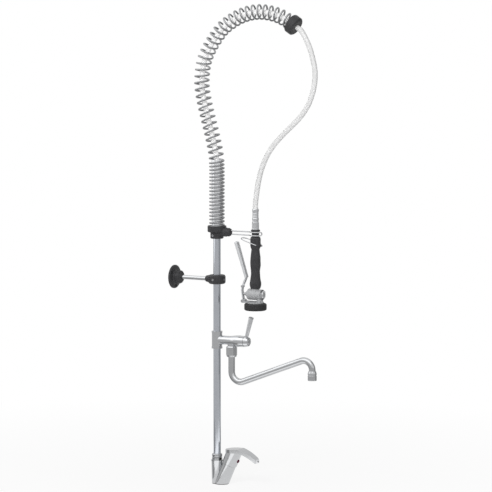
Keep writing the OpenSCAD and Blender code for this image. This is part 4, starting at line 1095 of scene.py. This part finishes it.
def mixed_ground(graph, ground, white, share, output):
    """Sends a mix of ground and plain white to the output; share is how white it looks where seen."""
    mix = graph.add("ShaderNodeMixShader", {}, {0: share * shown_white(graph), 1: ground, 2: white})
    graph.add(output, {}, {"Surface": mix})


corners = np.array([(-1, -1, 0), (1, -1, 0), (1, 1, 0), (-1, 1, 0)]) * FLOOR_HALF
floor = new_piece("studio_floor", corners, [(0, 1, 2, 3)])
floor_graph = bare_material(floor, "pale_floor")
where = floor_graph.add("ShaderNodeTexCoord", output="Object")
away = floor_graph.add("ShaderNodeVectorMath", {"operation": "LENGTH"}, {0: where}, "Value")
whiteness = floor_graph.add("ShaderNodeMapRange", {}, {
    "Value": away, "From Min": FLOOR_NEAR, "From Max": FLOOR_FADE, "To Min": FLOOR_WHITE, "To Max": 1.0})
pale = floor_graph.add("ShaderNodeBsdfDiffuse", {}, {"Color": (FLOOR_TONE, FLOOR_TONE, FLOOR_TONE, 1)})
glow = floor_graph.add("ShaderNodeEmission", {}, {"Strength": 1.0})
mixed_ground(floor_graph, pale, glow, whiteness, "ShaderNodeOutputMaterial")

scene.world = bpy.data.worlds.new("studio_white")
sky = bare_graph(scene.world)
dim, full = (sky.add("ShaderNodeBackground", {}, {"Color": (1, 1, 1, 1), "Strength": strength})
             for strength in (WORLD_LIGHT, 1.0))
mixed_ground(sky, dim, full, 1.0, "ShaderNodeOutputWorld")
print("floor", 2 * FLOOR_HALF, "m wide, world light", WORLD_LIGHT)

# %% [markdown]
# ## Lamps and studio cards
# Polished metal shows what stands round it, and in an empty white room it would have no edges. A studio
# sets up bright and dark cards out of view. Lamps alone could draw the streaks, but as hard squares, so
# mirrors don't see them here: soft lamps light the matt pieces, and a grey horizon and plain cards, which
# only mirrors see, draw the bright and dark bands on the metal.


# %% Lamps and studio cards
def facing(place, target):
    """Turn that makes an object at place look at target along its own -Z."""
    return Vector(np.asarray(target) - np.asarray(place)).to_track_quat("-Z", "Y").to_euler()


def soft_lamp(name, place, size, power):
    """Square area lamp aimed at the middle of the object."""
    lamp = bpy.data.lights.new(name, "AREA")
    lamp.size = size
    lamp.energy = power
    holder = bpy.data.objects.new(name, lamp)
    holder.location = place
    holder.rotation_euler = facing(place, LOOK_AT)
    holder.visible_glossy = False
    scene.collection.objects.link(holder)


def mirror_sheet(name, points, faces, tone):
    """Sheet of one tone that only mirrors see."""
    sheet = new_piece(name, points, faces)
    graph = bare_material(sheet, name)
    glow = graph.add("ShaderNodeEmission", {}, {"Strength": tone})
    graph.add("ShaderNodeOutputMaterial", {}, {"Surface": glow})
    sheet.visible_camera = False
    sheet.visible_diffuse = False
    sheet.visible_transmission = False
    sheet.visible_shadow = False


def studio_card(name, middle, across, up, tone):
    """Flat sheet spanned by two half edges from its middle."""
    across = np.asarray(across)
    up = np.asarray(up)
    points = np.asarray(middle) + np.array([-across - up, across - up, across + up, up - across])
    mirror_sheet(name, points, [(0, 1, 2, 3)], tone)


def horizon(name, outline, tone, sides=64):
    """Sheet round the whole studio: an outline [radius, height] carried once round the upright axis."""
    turn = np.linspace(0, 2 * np.pi, sides, endpoint=False)
    points = np.stack([np.stack([r * np.cos(turn), r * np.sin(turn), 0 * turn + z], 1) for r, z in outline])
    mirror_sheet(name, points, grid_faces(len(outline), sides), tone)


soft_lamp("key_lamp", (0.5, -3.0, 2.3), 1.2, 58)
soft_lamp("fill_lamp", (2.6, -1.6, 1.4), 1.8, 12)
soft_lamp("back_lamp", (0.4, 2.4, 2.2), 1.4, 8)
horizon("grey_horizon", [(0.5, 0.002), (5.5, 0.002), (5.5, 1.3)], 0.62)
CARDS = [
    ("bright_sky", (0, -1.7, 2.3), (2.2, 0, 0), (0, 0.55, 0.45), 2.0),
    ("bright_top", (-0.3, -0.6, 2.8), (2.0, 0, 0), (0, 0.6, 0), 1.5),
    ("bright_high_left", (-1.75, -0.35, 1.6), (0, 1.0, 0), (0.35, 0, 0.45), 1.9),
    ("bright_left", (-2.1, -1.2, 1.2), (0.33, -0.57, 0), (0, 0, 0.8), 1.6),
    ("dark_right", (0.95, 0.75, 0.9), (-0.33, 0.42, 0), (0, 0, 0.9), 0.36),
    ("grey_back", (-1.2, 2.2, 1.2), (1.5, 0.8, 0), (0, 0, 1.2), 0.75),
    ("dark_floor_left", (-0.47, -0.28, 0.005), (0.11, -0.19, 0), (-0.26, -0.15, 0), 0.35),
    ("dark_floor_right", (0.30, 0.40, 0.005), (0.10, -0.08, 0), (0.14, 0.19, 0), 0.10),
    ("dark_floor_near_left", (-0.16, -0.10, 0.004), (0.11, 0, 0), (0, 0.09, 0), 0.40),
    ("bright_floor_middle", (0.06, -0.24, 0.005), (0.22, 0, 0), (0, 0.11, 0), 1.4),
    ("bright_floor_right", (0.42, 0.0, 0.005), (0.20, 0, 0), (0, 0.17, 0), 1.35),
]
for name, middle, across, up, tone in CARDS:
    studio_card(name, middle, across, up, tone)
scene.view_settings.view_transform = "Standard"
print("cards", len(CARDS))
